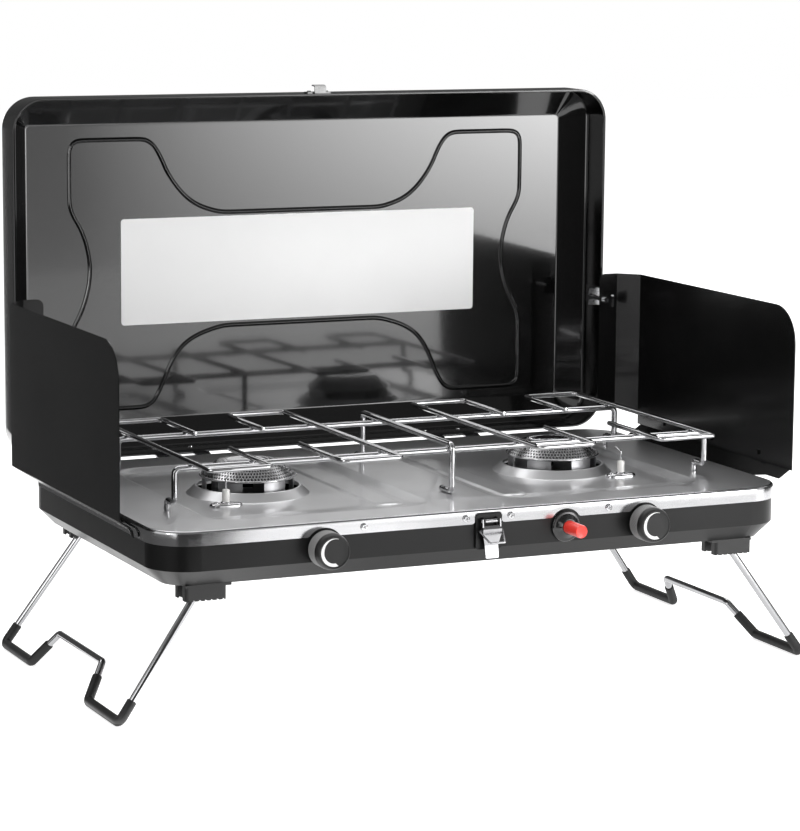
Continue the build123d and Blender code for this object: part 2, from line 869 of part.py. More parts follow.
def pot_wire(outer_x, finger_x):
    points = [
        (finger_x, front_tip_y, pot_wire_z),
        (finger_x, grate_front, pot_wire_z),
        (outer_x, grate_front, pot_wire_z),
        (outer_x, grate_rear, pot_wire_z),
        (finger_x, grate_rear, pot_wire_z),
        (finger_x, rear_tip_y, pot_wire_z),
    ]
    return wire(points, pot_wire_radius, 5.0)


bar_z = pot_wire_z - pot_wire_radius - bar_radius + weld
centre_wire_z = bar_z + 2 * bar_radius - weld
centre_front_y = front_bar_y - 2 * bar_radius + weld
foot_z = bar_radius + 0.01


def grate_bar(y, x):
    side = []
    for sign in (-1, 1):
        side.append([(sign * x, y + 17, 0.01), (sign * x, y + 17, 9.0), (sign * x, y, 9.0), (sign * x, y, bar_z)])
    points = side[0] + side[1][::-1]
    return wire(points, bar_radius, 4.5)


def centre_wire():
    points = [
        (0, centre_front_y + centre_front_toe, foot_z),
        (0, centre_front_y, foot_z),
        (0, centre_front_y, centre_wire_z),
        (0, centre_rear_y, centre_wire_z),
        (0, centre_rear_y, foot_z),
        (0, centre_rear_y + centre_rear_toe, foot_z),
    ]
    return wire(points, bar_radius, 4.5)


parts["grate_bar_front"] = grate_bar(front_bar_y, front_leg_x)
parts["grate_bar_rear"] = grate_bar(rear_bar_y, rear_leg_x)
parts["grate_centre_wire"] = centre_wire()
pair("pot_wire_inner", pot_wire(inner_wire_x, inner_finger_x))
pair("pot_wire_outer", pot_wire(outer_wire_x, outer_finger_x))


# Wire legs


def leg_point(share, y):
    x = leg_pivot_x + share * (leg_floor_x - leg_pivot_x)
    z = leg_pivot_z + share * (leg_floor_z - leg_pivot_z)
    return x, y, z


def leg_wire():
    axle_end = foot_front + foot_length - 1
    front = [
        (leg_pivot_x, axle_end, leg_pivot_z),
        leg_point(0, leg_arm_y),
        leg_point(1, leg_toe_y),
        leg_point(1, leg_rise_y),
        leg_point(leg_run_share, leg_run_y),
    ]
    rear = [(x, depth - y, z) for x, y, z in reversed(front)]
    bends = [leg_axle_bend, 5, 5, 5, 5, 5, 5, leg_axle_bend]
    return wire(front + rear, leg_radius, bends)


def leg_sleeve():
    points = [
        leg_point(0.84, leg_arm_y + 0.84 * (leg_toe_y - leg_arm_y)),
        leg_point(1, leg_toe_y),
        leg_point(1, leg_rise_y),
        leg_point(0.83, leg_rise_y + (leg_run_y - leg_rise_y) * 0.64),
    ]
    outer = wire(points, sleeve_radius, 5.0)
    return outer - wire(points, leg_radius, 5.0)


right_leg = leg_wire()
right_sleeve = leg_sleeve()
pair("leg_wire", right_leg)
pair("leg_sleeve_front", right_sleeve)
pair("leg_sleeve_rear", swapped_ends(right_sleeve))


# Move the origin to the middle of the floor under the stove and write every part

lows, highs = [], []
for shape in parts.values():
    bounds = shape.bounding_box()
    lows.append(bounds.min)
    highs.append(bounds.max)
middle_x = (min(v.X for v in lows) + max(v.X for v in highs)) / 2
middle_y = (min(v.Y for v in lows) + max(v.Y for v in highs)) / 2
floor_z = min(v.Z for v in lows)
print("origin in drawing coordinates", round(middle_x, 3), round(middle_y, 3), round(floor_z, 3))
print("size", round(max(v.X for v in highs) * 2, 1), round(max(v.Y for v in highs) - min(v.Y for v in lows), 1))
print("height", round(max(v.Z for v in highs) - floor_z, 1))

to_origin = Pos(-middle_x, -middle_y, -floor_z)
for name, shape in parts.items():
    export_step(to_origin * shape, f"parts/{name}.step")
print(len(parts), "parts")
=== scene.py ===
import math

import bmesh
import bpy
from mathutils import Matrix, Vector


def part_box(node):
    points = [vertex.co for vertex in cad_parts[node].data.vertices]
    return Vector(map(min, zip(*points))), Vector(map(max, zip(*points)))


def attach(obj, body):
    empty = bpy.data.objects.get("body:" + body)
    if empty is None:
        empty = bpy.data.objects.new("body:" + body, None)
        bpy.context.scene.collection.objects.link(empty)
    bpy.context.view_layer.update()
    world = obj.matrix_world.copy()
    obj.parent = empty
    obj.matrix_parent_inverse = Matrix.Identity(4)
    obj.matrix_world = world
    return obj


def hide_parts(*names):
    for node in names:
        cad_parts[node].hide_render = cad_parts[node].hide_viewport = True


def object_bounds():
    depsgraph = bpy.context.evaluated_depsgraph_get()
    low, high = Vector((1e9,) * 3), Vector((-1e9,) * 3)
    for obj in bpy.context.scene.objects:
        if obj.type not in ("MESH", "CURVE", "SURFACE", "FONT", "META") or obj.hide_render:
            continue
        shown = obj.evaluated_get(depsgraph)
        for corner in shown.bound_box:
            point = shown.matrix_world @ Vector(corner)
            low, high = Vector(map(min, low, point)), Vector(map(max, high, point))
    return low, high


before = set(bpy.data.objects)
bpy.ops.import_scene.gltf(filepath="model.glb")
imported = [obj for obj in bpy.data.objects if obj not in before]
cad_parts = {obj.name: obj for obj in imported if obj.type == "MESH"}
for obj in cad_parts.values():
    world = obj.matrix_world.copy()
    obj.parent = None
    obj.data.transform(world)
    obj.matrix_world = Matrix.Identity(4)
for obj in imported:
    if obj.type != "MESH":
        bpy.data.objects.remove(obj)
cad_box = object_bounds()

# Places below are in millimetres: X to the right from the middle, Y to the rear from the front face,
# Z up from the tray
MM = 0.001
tray_low, tray_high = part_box("cooktop")
BAND_HEIGHT = 11.6
ORIGIN = Vector((0.0, tray_low.y, tray_low.z + BAND_HEIGHT * MM))
HALF_WIDTH = tray_high.x / MM
DEPTH = (tray_high.y - tray_low.y) / MM
CORNER = 35.0
EDGE_ROLL = 2.4
SIDES = (("left", -1), ("right", 1))


def at(x, y, z):
    return Vector((x, y, z)) * MM + ORIGIN


def corners_of(node):
    """The low and the high corner of a CAD piece's box in millimetres, to a tenth."""
    return [tuple(round(v / MM, 1) for v in corner - ORIGIN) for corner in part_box(node)]


def middle_of(node):
    low, high = corners_of(node)
    return tuple((a + b) / 2 for a, b in zip(low, high))


# Mesh building


class Shape:
    """Vertices in drawing millimetres and faces, gathered piece by piece."""

    def __init__(self):
        self.verts = []
        self.faces = []

    def add(self, verts, faces):
        base = len(self.verts)
        self.verts += [Vector(v) for v in verts]
        self.faces += [tuple(base + i for i in face) for face in faces]

    def rings(self, rings, closed=True, caps=(False, False)):
        """Joins rings of equal length with quads, and closes the first and last ring where caps says so."""
        count = len(rings[0])
        faces = []
        steps = count if closed else count - 1
        for row in range(len(rings) - 1):
            for i in range(steps):
                a = row * count + i
                b = row * count + (i + 1) % count
                faces.append((a, b, b + count, a + count))
        if caps[0]:
            faces.append(tuple(range(count - 1, -1, -1)))
        if caps[1]:
            last = (len(rings) - 1) * count
            faces.append(tuple(range(last, last + count)))
        self.add([v for ring in rings for v in ring], faces)

    def turned_over(self, move):
        """A copy with each vertex moved and each face turned over."""
        other = Shape()
        other.verts = [Vector(move(v)) for v in self.verts]
        other.faces = [tuple(reversed(face)) for face in self.faces]
        return other

    def flipped(self):
        return self.turned_over(lambda v: v)

    def mirrored(self):
        return self.turned_over(lambda v: (-v.x, v.y, v.z))

    def swapped_ends(self):
        return self.turned_over(lambda v: (v.x, DEPTH - v.y, v.z))

    def join(self, other):
        self.add(other.verts, other.faces)


def link_object(name, data):
    obj = bpy.data.objects.new(name, data)
    bpy.context.scene.collection.objects.link(obj)
    return obj


def face_outward(mesh):
    form = bmesh.new()
    form.from_mesh(mesh)
    bmesh.ops.recalc_face_normals(form, faces=form.faces)
    form.to_mesh(mesh)
    form.free()


SHARP_ANGLE = 35.0


def piece(name, shape, body, material, replaces=(), sharp=SHARP_ANGLE, normals=None, closed=True):
    """Turns a shape into a piece that rides on its body and stands in for the CAD parts named in replaces."""
    mesh = bpy.data.meshes.new(name)
    mesh.from_pydata([at(*v) for v in shape.verts], [], shape.faces)
    mesh.validate()
    if closed and not normals:
        face_outward(mesh)
    mesh.shade_smooth()
    if normals:
        mesh.normals_split_custom_set_from_vertices(normals)
    else:
        mesh.set_sharp_from_angle(angle=math.radians(sharp))
    mesh.materials.append(material)
    obj = link_object(name, mesh)
    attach(obj, body)
    if replaces:
        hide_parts(*replaces)


def finish_node(node, material):
    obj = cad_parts[node]
    obj.data.shade_smooth()
    obj.data.set_sharp_from_angle(angle=math.radians(SHARP_ANGLE))
    obj.data.materials.clear()
    obj.data.materials.append(material)


def ease(t):
    t = max(0.0, min(1.0, t))
    return t * t * (3 - 2 * t)


def angles_round(count):
    return [2 * math.pi * i / count for i in range(count)]


def on_circle(centre, radius, angle):
    return centre[0] + radius * math.cos(angle), centre[1] + radius * math.sin(angle)


def arc_path(points, radius, steps=6):
    """A polyline with each inner corner rounded by an arc."""
    points = [Vector(p) for p in points]
    radii = radius if isinstance(radius, (list, tuple)) else [radius] * (len(points) - 2)
    path = [points[0]]
    for i in range(1, len(points) - 1):
        before = (points[i - 1] - points[i]).normalized()
        after = (points[i + 1] - points[i]).normalized()
        half = before.angle(after) / 2
        reach = radii[i - 1] / math.tan(half)
        start = points[i] + before * reach
        end = points[i] + after * reach
        centre = points[i] + (before + after).normalized() * (radii[i - 1] / math.sin(half))
        turn = math.pi - 2 * half
        axis = (start - centre).cross(end - centre).normalized()
        for k in range(steps + 1):
            path.append(centre + Matrix.Rotation(turn * k / steps, 3, axis) @ (start - centre))
    path.append(points[-1])
    return path


def tube(shape, path, radius, sides=16, end_round=0.35):
    """Sweeps a round wire along a path, with slightly rounded cut ends."""
    path = [Vector(p) for p in path]
    tangent = (path[1] - path[0]).normalized()
    side = tangent.orthogonal().normalized()
    angles = angles_round(sides)
    # The rings of a cut end: how far each lies from it and how much smaller it is, in shares of the radius
    cut_end = ((0.0, end_round), (end_round * 0.3, end_round * 0.3), (end_round, 0.0))
    rings = []

    def add_ring(centre, size):
        other = along.cross(side)
        rings.append([centre + (side * math.cos(a) + other * math.sin(a)) * size for a in angles])

    for i, point in enumerate(path):
        ahead = path[min(i + 1, len(path) - 1)] - path[max(i - 1, 0)]
        if ahead.length < 1e-6:
            continue
        along = ahead.normalized()
        side = (side - along * side.dot(along)).normalized()
        if i == 0:
            for reach, less in cut_end:
                add_ring(point + along * radius * reach, radius * (1 - less))
        elif i == len(path) - 1:
            for reach, less in reversed(cut_end):
                add_ring(point - along * radius * reach, radius * (1 - less))
        else:
            add_ring(point, radius)
    shape.rings(rings, caps=(True, True))
    return shape


def lathe(shape, profile, centre, axis="Z", steps=96, wobble=None):
    """Turns (radius, height) pairs about an axis through centre. Heights along Y run towards the front."""
    rings = []
    for radius, height in profile:
        ring = []
        for a in angles_round(steps):
            r = radius + (wobble(a, radius, height) if wobble else 0.0)
            u, v = r * math.cos(a), r * math.sin(a)
            ring.append(Vector(centre) + Vector((u, v, height) if axis == "Z" else (u, -height, v)))
        rings.append(ring)
    shape.rings(rings)
    return shape


def rounded_outline(half_x, low, high, radius, corner_steps=14, spacing=0.0):
    """A rounded rectangle, anticlockwise, with its straight sides divided about every spacing."""
    centres = [
        (half_x - radius, low + radius, -90),
        (half_x - radius, high - radius, 0),
        (-half_x + radius, high - radius, 90),
        (-half_x + radius, low + radius, 180),
    ]
    corners = []
    for x, y, start in centres:
        arc = []
        for k in range(corner_steps + 1):
            arc.append(on_circle((x, y), radius, math.radians(start + 90 * k / corner_steps)))
        corners.append(arc)
    outline = []
    for i, arc in enumerate(corners):
        outline += arc
        (x, y), (next_x, next_y) = arc[-1], corners[(i + 1) % 4][0]
        length = math.hypot(next_x - x, next_y - y)
        count = int(length / spacing) if spacing else 1
        for k in range(1, count):
            share = k / count
            outline.append((x + (next_x - x) * share, y + (next_y - y) * share))
    return outline


def upright_plate(outline, front, thickness, bevel):
    """A flat plate in the upright plane, with bevelled edges."""
    points = [Vector(p) for p in outline]
    centre = sum(points, Vector((0, 0))) / len(points)
    levels = [(bevel, 0.0), (bevel * 0.3, bevel * 0.3), (0.0, bevel)]
    levels += [(inset, thickness - depth) for inset, depth in reversed(levels)]
    rings = []
    for inset, depth in levels:
        ring = [p - (p - centre).normalized() * inset for p in points]
        rings.append([(p.x, front + depth, p.y) for p in ring])
    shape = Shape()
    shape.rings(rings, caps=(True, True))
    return shape


# Materials


def add_node(tree, kind, **values):
    """A new node with its inputs set, where an underscore stands for a space in an input's name."""
    node = tree.nodes.new("ShaderNode" + kind)
    for name, value in values.items():
        node.inputs[name.replace("_", " ")].default_value = value
    return node


def node_material(name):
    material = bpy.data.materials.new(name)
    material.use_nodes = True
    tree = material.node_tree
    return material, tree, tree.nodes["Principled BSDF"]


def noise(tree, scale, detail, stretch=(1, 1, 1)):
    coords = add_node(tree, "TexCoord")
    mapping = add_node(tree, "Mapping", Scale=stretch)
    texture = add_node(tree, "TexNoise", Scale=scale, Detail=detail, Roughness=0.55)
    tree.links.new(coords.outputs["Object"], mapping.inputs["Vector"])
    tree.links.new(mapping.outputs["Vector"], texture.inputs["Vector"])
    return texture.outputs["Fac"]


def ramp(tree, source, low, high, start=0.3, end=0.7):
    span = add_node(tree, "MapRange", From_Min=start, From_Max=end, To_Min=low, To_Max=high)
    tree.links.new(source, span.inputs["Value"])
    return span.outputs["Result"]


def tint(tree, source, dark, light):
    mix = add_node(tree, "Mix")
    mix.data_type = "RGBA"
    mix.inputs["A"].default_value = (*dark, 1)
    mix.inputs["B"].default_value = (*light, 1)
    tree.links.new(ramp(tree, source, 0.0, 1.0), mix.inputs["Factor"])
    return mix.outputs["Result"]


def bump(tree, source, strength, distance):
    node = add_node(tree, "Bump", Strength=strength, Distance=distance)
    tree.links.new(source, node.inputs["Height"])
    return node.outputs["Normal"]


def shade(tone, blue=0.0):
    """A colour from three numbers, or a grey from one, with a trace of blue."""
    return tone if isinstance(tone, tuple) else (tone, tone, tone + blue)


def metal(name, dark, light, rough, grain=300.0, stretch=(1, 1, 1), dent=0.05, coat=0.0, blue=0.01):
    """Metal between two tones and two roughnesses. Its grain is also a relief as strong as dent."""
    material, tree, shader = node_material(name)
    grain_noise = noise(tree, grain, 5.0, stretch)
    smear = noise(tree, 14.0, 3.0)
    colour = tint(tree, smear, shade(dark, blue), shade(light, blue))
    tree.links.new(colour, shader.inputs["Base Color"])
    tree.links.new(ramp(tree, grain_noise, *rough), shader.inputs["Roughness"])
    tree.links.new(bump(tree, grain_noise, dent, 0.0002), shader.inputs["Normal"])
    shader.inputs["Metallic"].default_value = 1.0
    shader.inputs["Coat Weight"].default_value = coat
    shader.inputs["Coat Roughness"].default_value = 0.06
    return material


def enamel(name, dark, light, rough, peel, peel_scale, coat, specular=0.5):
    """Paint, plastic or ceramic between two tones and two roughnesses. Peel is the relief of its skin."""
    material, tree, shader = node_material(name)
    texture = noise(tree, peel_scale, 2.0)
    smear = noise(tree, 9.0, 3.0)
    tree.links.new(tint(tree, smear, shade(dark), shade(light)), shader.inputs["Base Color"])
    tree.links.new(ramp(tree, smear, *rough), shader.inputs["Roughness"])
    tree.links.new(bump(tree, texture, peel, 0.0003), shader.inputs["Normal"])
    shader.inputs["Specular IOR Level"].default_value = specular
    shader.inputs["Coat Weight"].default_value = coat
    shader.inputs["Coat Roughness"].default_value = 0.05
    return material


stainless = metal("stainless", 0.70, 0.76, (0.36, 0.40), 900.0, (1, 0.06, 1), 0.004, 0.55)
band_steel = metal("band_steel", 0.50, 0.56, (0.12, 0.16), 1500.0, (0.08, 1, 1), 0.02)
polished = metal("polished_steel", 0.58, 0.70, (0.06, 0.13), 200.0, dent=0.02)
chrome = metal("chrome", 0.58, 0.66, (0.04, 0.09), 260.0, dent=0.01)
# A darker copy of the chrome for the legs: painted shade for the darker reflections along the leg wires
leg_chrome_shaded = metal("leg_chrome_shaded", 0.40, 0.48, (0.06, 0.12), 260.0, dent=0.01)
zinc = metal("zinc_plate", 0.36, 0.46, (0.16, 0.26), 320.0, dent=0.04)
drum_zinc = metal("drum_zinc", 0.36, 0.46, (0.34, 0.44), 320.0, dent=0.04)
brass = metal("brass", (0.60, 0.45, 0.20), (0.76, 0.60, 0.32), (0.18, 0.32))
satin_steel = metal("satin_steel", 0.56, 0.66, (0.20, 0.30), 400.0)
# The lid catch's chrome made near black: painted shade for the dark reflections it shows
catch_shaded_chrome = metal("catch_shaded_chrome", 0.09, 0.14, (0.20, 0.30), blue=0.0)
aluminium = metal("aluminium", 0.58, 0.70, (0.28, 0.42), blue=0.02)
lid_enamel = enamel("lid_enamel", 0.002, 0.004, (0.09, 0.13), 0.06, 220.0, 0.8, 0.4)
case_enamel = enamel("case_enamel", 0.004, 0.007, (0.26, 0.34), 0.08, 300.0, 0.0, 0.28)
screen_enamel = enamel("screen_enamel", 0.004, 0.007, (0.18, 0.24), 0.06, 260.0, 0.05, 0.3)
plastic = enamel("black_plastic", 0.010, 0.018, (0.42, 0.56), 0.25, 900.0, 0.0)
gloss_black = enamel("gloss_black", 0.006, 0.010, (0.14, 0.20), 0.05, 300.0, 0.3)
knob_face = enamel("knob_face", 0.009, 0.013, (0.36, 0.46), 0.1, 900.0, 0.0, 0.35)
knob_side = enamel("knob_side", 0.20, 0.27, (0.40, 0.55), 0.3, 900.0, 0.0)
sleeve_rubber = enamel("sleeve_rubber", 0.004, 0.010, (0.5, 0.7), 0.35, 700.0, 0.0)
red_plastic = enamel("red_plastic", (0.92, 0.050, 0.036), (0.96, 0.062, 0.045), (0.25, 0.32), 0.04, 500, 0.2)
white_print = enamel("white_print", 0.80, 0.86, (0.35, 0.45), 0.05, 500.0, 0.0)
label_white = enamel("label_white", 0.84, 0.88, (0.35, 0.45), 0.04, 400.0, 0.0, 0.3)
# Near black: painted shade for the inside of the burner caps, seen through their holes
hole_shade_black = enamel("hole_shade_black", 0.004, 0.010, (0.6, 0.8), 0.2, 500.0, 0.0, 0.2)
ceramic = enamel("ceramic", (0.76, 0.75, 0.73), (0.84, 0.83, 0.81), (0.2, 0.3), 0.05, 600.0, 0.4)


# Cooktop: one pressing with two sunk wells, raised collars and two ribs, and the silver band round it

BURNER = middle_of("burner_cap_right")[:2]
OPENING_RADIUS = 42.5
COLLAR_FLAT = 1.4
COLLAR_FOOT = 51.0
COLLAR_TOP = corners_of("cooktop")[1][2]
WELL_DEPTH = -corners_of("electrode_plates")[0][2]
WELL_X = (28.0, 222.0)
WELL_Y = (31.0, 285.0)
WELL_CORNER = 26.0
WELL_SLOPE = 9.0
WELL_FRONT_SLOPE = 46.0
RIB_X = 56.5
RIB_HALF = 12.5
RIB_Y = (58.0, 264.0)
RIB_HEIGHT = 1.5
RIB_SLOPE = 3.0


def well_share(x, y):
    """How deep the well is at a place, from 0 outside to 1 on its floor, with a longer slope at the front."""
    middle = ((WELL_X[0] + WELL_X[1]) / 2, (WELL_Y[0] + WELL_Y[1]) / 2)
    dx = abs(x - middle[0]) - (WELL_X[1] - WELL_X[0]) / 2 + WELL_CORNER
    dy = abs(y - middle[1]) - (WELL_Y[1] - WELL_Y[0]) / 2 + WELL_CORNER
    outside = math.hypot(max(dx, 0), max(dy, 0)) + min(max(dx, dy), 0) - WELL_CORNER
    return ease(-outside / WELL_SLOPE) * ease((y - WELL_Y[0] + 2) / WELL_FRONT_SLOPE)


def tray_height(x, y):
    x = abs(x)
    height = -WELL_DEPTH * well_share(x, y)
    nearest = max(RIB_Y[0] + RIB_HALF, min(RIB_Y[1] - RIB_HALF, y))
    height += RIB_HEIGHT * ease((RIB_HALF - math.hypot(x - RIB_X, y - nearest)) / RIB_SLOPE)
    beyond_flat = math.hypot(x - BURNER[0], y - BURNER[1]) - OPENING_RADIUS - COLLAR_FLAT
    steepness = (COLLAR_TOP + WELL_DEPTH) / (COLLAR_FOOT - OPENING_RADIUS - COLLAR_FLAT)
    return max(height, min(COLLAR_TOP - beyond_flat * steepness, COLLAR_TOP))


def tray_normal(x, y):
    d = 0.35
    slope_x = (tray_height(x + d, y) - tray_height(x - d, y)) / (2 * d)
    slope_y = (tray_height(x, y + d) - tray_height(x, y - d)) / (2 * d)
    return Vector((-slope_x, -slope_y, 1)).normalized()


def edge_distance(angle):
    """How far the half tray reaches from the burner's centre in a direction, to where its edge rolls over."""
    dx, dy = math.cos(angle), math.sin(angle)
    wall_x = HALF_WIDTH - EDGE_ROLL if dx > 0 else 0.0
    wall_y = DEPTH - EDGE_ROLL if dy > 0 else EDGE_ROLL
    gaps = ((wall_x - BURNER[0], dx), (wall_y - BURNER[1], dy))
    far = min(gap / step for gap, step in gaps if abs(step) > 1e-9)
    x, y = BURNER[0] + dx * far, BURNER[1] + dy * far
    radius = CORNER - EDGE_ROLL
    for cy in (CORNER, DEPTH - CORNER):
        cx = HALF_WIDTH - CORNER
        if x > cx and (y < cy if cy < DEPTH / 2 else y > cy):
            ox, oy = BURNER[0] - cx, BURNER[1] - cy
            b = ox * dx + oy * dy
            far = -b + math.sqrt(b * b - (ox * ox + oy * oy - radius * radius))
    return far


def cooktop_shape():
    """Each half of the tray as rings about its burner, and the normals of the surface that they follow."""
    shape, normals = Shape(), []
    angles, rows = angles_round(480), 96
    collar_steps = (0.0, 0.5, 1.0, 1.4, 1.9, 3.0, 4.5, 6.0, 7.2, 8.0, 8.5, 9.2, 10.5)
    collar = [OPENING_RADIUS + step for step in collar_steps]
    for side in (1, -1):
        rings = []
        for radius, drop in ((OPENING_RADIUS + 0.6, 3.0), (OPENING_RADIUS, 2.2), (OPENING_RADIUS, 0.6)):
            ring = []
            for a in angles:
                x, y = on_circle(BURNER, radius, a)
                ring.append((x, y, COLLAR_TOP - drop))
                normals.append(Vector((-math.cos(a) * side, -math.sin(a), 0.2)).normalized())
            rings.append(ring)
        for j in range(len(collar) + rows):
            ring = []
            for a in angles:
                if j < len(collar):
                    r = collar[j]
                else:
                    share = (j - len(collar) + 1) / rows
                    r = collar[-1] + share * (edge_distance(a) - collar[-1])
                x, y = on_circle(BURNER, r, a)
                ring.append((x, y, tray_height(x, y)))
                normal = tray_normal(x, y)
                normals.append(Vector((normal.x * side, normal.y, normal.z)))
            rings.append(ring)
        half = Shape()
        half.rings(rings)
        shape.join(half.flipped() if side > 0 else half.flipped().mirrored())
    return shape, normals


# What the band's lower edge is notched for: the knobs, the igniter and the latch
KNOB_X, _, KNOB_Z = middle_of("knob_right")
KNOB_NOTCH = 16.2
IGNITER_X, _, IGNITER_Z = middle_of("igniter_bezel")
IGNITER_NOTCH = 14.4
LATCH_NOTCH, LATCH_NOTCH_TOP = 11.8, -2.7
NOTCH_ROUND = 3.0


def round_notch(dx, cz, radius):
    """The lower edge beside a round notch whose centre lies below the band, with its corners rounded."""
    rise = -BAND_HEIGHT + NOTCH_ROUND
    far = math.sqrt((radius + NOTCH_ROUND) ** 2 - (rise - cz) ** 2)
    meet = far * radius / (radius + NOTCH_ROUND)
    if dx < meet:
        return cz + math.sqrt(radius**2 - dx**2)
    if dx < far:
        return rise - math.sqrt(NOTCH_ROUND**2 - (far - dx) ** 2)
    return -BAND_HEIGHT


def latch_notch(dx):
    inner, outer = LATCH_NOTCH - NOTCH_ROUND, LATCH_NOTCH + NOTCH_ROUND
    if dx < inner:
        return LATCH_NOTCH_TOP
    if dx < LATCH_NOTCH:
        return LATCH_NOTCH_TOP - NOTCH_ROUND + math.sqrt(NOTCH_ROUND**2 - (dx - inner) ** 2)
    if dx < outer:
        return -BAND_HEIGHT + NOTCH_ROUND - math.sqrt(NOTCH_ROUND**2 - (outer - dx) ** 2)
    return -BAND_HEIGHT


def band_bottom(x, y):
    """The band's lower edge, notched on the front round the knobs, the igniter and the latch."""
    if y > 1.0:
        return -BAND_HEIGHT
    knobs = round_notch(abs(abs(x) - KNOB_X), KNOB_Z, KNOB_NOTCH)
    igniter = round_notch(abs(x - IGNITER_X), IGNITER_Z, IGNITER_NOTCH)
    return max(knobs, igniter, latch_notch(abs(x)))


def band_shape():
    """The band as rings that follow its plan: over the rolled edge, down its face and in under it."""
    plan = {"corner_steps": 40, "spacing": 0.6}
    outline = rounded_outline(HALF_WIDTH, 0.0, DEPTH, CORNER, **plan)
    inner = rounded_outline(HALF_WIDTH - EDGE_ROLL, EDGE_ROLL, DEPTH - EDGE_ROLL, CORNER - EDGE_ROLL, **plan)
    outward = []
    for (x, y), (u, v) in zip(outline, inner):
        outward.append(Vector((x - u, y - v)).normalized())

    def ring(inset, height):
        """The plan, moved in. height turns the band's lower edge at a place into the ring's."""
        places = zip(outline, outward)
        return [(x - n.x * inset, y - n.y * inset, height(band_bottom(x, y))) for (x, y), n in places]

    rings = []
    for step in range(9):
        a = math.radians(90 * step / 8)
        rings.append(ring(EDGE_ROLL * (1 - math.sin(a)), lambda low: -EDGE_ROLL * (1 - math.cos(a))))
    for share in (0.5, 0.92, 1.0):
        rings.append(ring(0.0, lambda low: -EDGE_ROLL + (low + EDGE_ROLL) * share))
    for inset, lift in ((0.3, -0.15), (0.7, -0.1), (0.95, 0.3), (0.95, 1.5)):
        rings.append(ring(inset, lambda low: low + lift))
    shape = Shape()
    shape.rings(rings)
    return shape


tray_shape, tray_normals = cooktop_shape()
piece("cooktop_pressing", tray_shape, "base", stainless, ["cooktop"], normals=tray_normals)
piece("cooktop_band", band_shape(), "base", band_steel, sharp=50)


# Grate

WIRE = 2.1
BAR = 2.5
WELD_SINK = 0.05
wire_low, wire_high = corners_of("pot_wire_outer_right")
OUTER_FINGER_X, OUTER_WIRE_X = wire_low[0] + WIRE, wire_high[0] - WIRE
GRATE_FRONT, GRATE_REAR = wire_low[1] + WIRE, wire_high[1] - WIRE
WIRE_Z = (wire_low[2] + wire_high[2]) / 2
wire_low, wire_high = corners_of("pot_wire_inner_right")
INNER_WIRE_X, INNER_FINGER_X = wire_low[0] + WIRE, wire_high[0] - WIRE
FINGER_FRONT_END, FINGER_REAR_END = 122.0, 199.5
BAR_Z = WIRE_Z - WIRE - BAR + WELD_SINK
FRONT_BAR_Y = corners_of("grate_bar_front")[0][1] + BAR
FRONT_BAR_X = corners_of("grate_bar_front")[1][0] - BAR
REAR_BAR_Y = corners_of("grate_bar_rear")[0][1] + BAR
REAR_BAR_X = corners_of("grate_bar_rear")[1][0] - BAR
BAR_TOE, BAR_FOOT_Z, BAR_TOE_Z = 17.0, 9.0, 0.01
CENTRE_Z = BAR_Z + 2 * BAR - WELD_SINK
CENTRE_FOOT_Z = BAR + 0.01
CENTRE_FRONT_Y = FRONT_BAR_Y - 2 * BAR + WELD_SINK
CENTRE_FRONT_TOE, CENTRE_REAR_TOE = 20.0, 14.0
CENTRE_REAR_Y = corners_of("grate_centre_wire")[1][1] - CENTRE_REAR_TOE


def bent_wire(points, bend, radius, sides, end_round=0.35):
    return tube(Shape(), arc_path(points, bend, 8), radius, sides, end_round)


def grate_bar(y, x):
    """A bar across the grate whose ends go down to a foot with a toe to the rear."""
    end = [(y + BAR_TOE, BAR_TOE_Z), (y + BAR_TOE, BAR_FOOT_Z), (y, BAR_FOOT_Z), (y, BAR_Z)]
    points = [(-x, *place) for place in end] + [(x, *place) for place in reversed(end)]
    return bent_wire(points, 4.5, BAR, 24)


def centre_wire():
    points = [
        (0, CENTRE_FRONT_Y + CENTRE_FRONT_TOE, CENTRE_FOOT_Z),
        (0, CENTRE_FRONT_Y, CENTRE_FOOT_Z),
        (0, CENTRE_FRONT_Y, CENTRE_Z),
        (0, CENTRE_REAR_Y, CENTRE_Z),
        (0, CENTRE_REAR_Y, CENTRE_FOOT_Z),
        (0, CENTRE_REAR_Y + CENTRE_REAR_TOE, CENTRE_FOOT_Z),
    ]
    return bent_wire(points, 4.5, BAR, 24)


def pot_wire(x, finger_x):
    points = [
        (finger_x, FINGER_FRONT_END, WIRE_Z),
        (finger_x, GRATE_FRONT, WIRE_Z),
        (x, GRATE_FRONT, WIRE_Z),
        (x, GRATE_REAR, WIRE_Z),
        (finger_x, GRATE_REAR, WIRE_Z),
        (finger_x, FINGER_REAR_END, WIRE_Z),
    ]
    return bent_wire(points, 5.0, WIRE, 20)


pot_wires = {
    "pot_wire_outer_left": (-OUTER_WIRE_X, -OUTER_FINGER_X),
    "pot_wire_inner_left": (-INNER_WIRE_X, -INNER_FINGER_X),
    "pot_wire_inner_right": (INNER_WIRE_X, INNER_FINGER_X),
    "pot_wire_outer_right": (OUTER_WIRE_X, OUTER_FINGER_X),
}


def bead(shape, centre, size):
    profile = [(size * math.sin(math.pi * k / 8), -size * math.cos(math.pi * k / 8)) for k in range(9)]
    lathe(shape, profile, centre, steps=12)


def weld_beads():
    """A bead on either side of each wire, where it crosses a bar."""
    shape = Shape()
    for x in sum(pot_wires.values(), ()):
        for y in (FRONT_BAR_Y, REAR_BAR_Y):
            for side in (-1, 1):
                bead(shape, (x + side * 2.3, y - side * 0.4, BAR_Z + BAR * 0.75), 1.15)
    for y in (CENTRE_FRONT_Y + 2 * BAR, REAR_BAR_Y):
        for side in (-1, 1):
            bead(shape, (side * 2.6, y - 0.5, BAR_Z + BAR * 0.8), 1.2)
    return shape


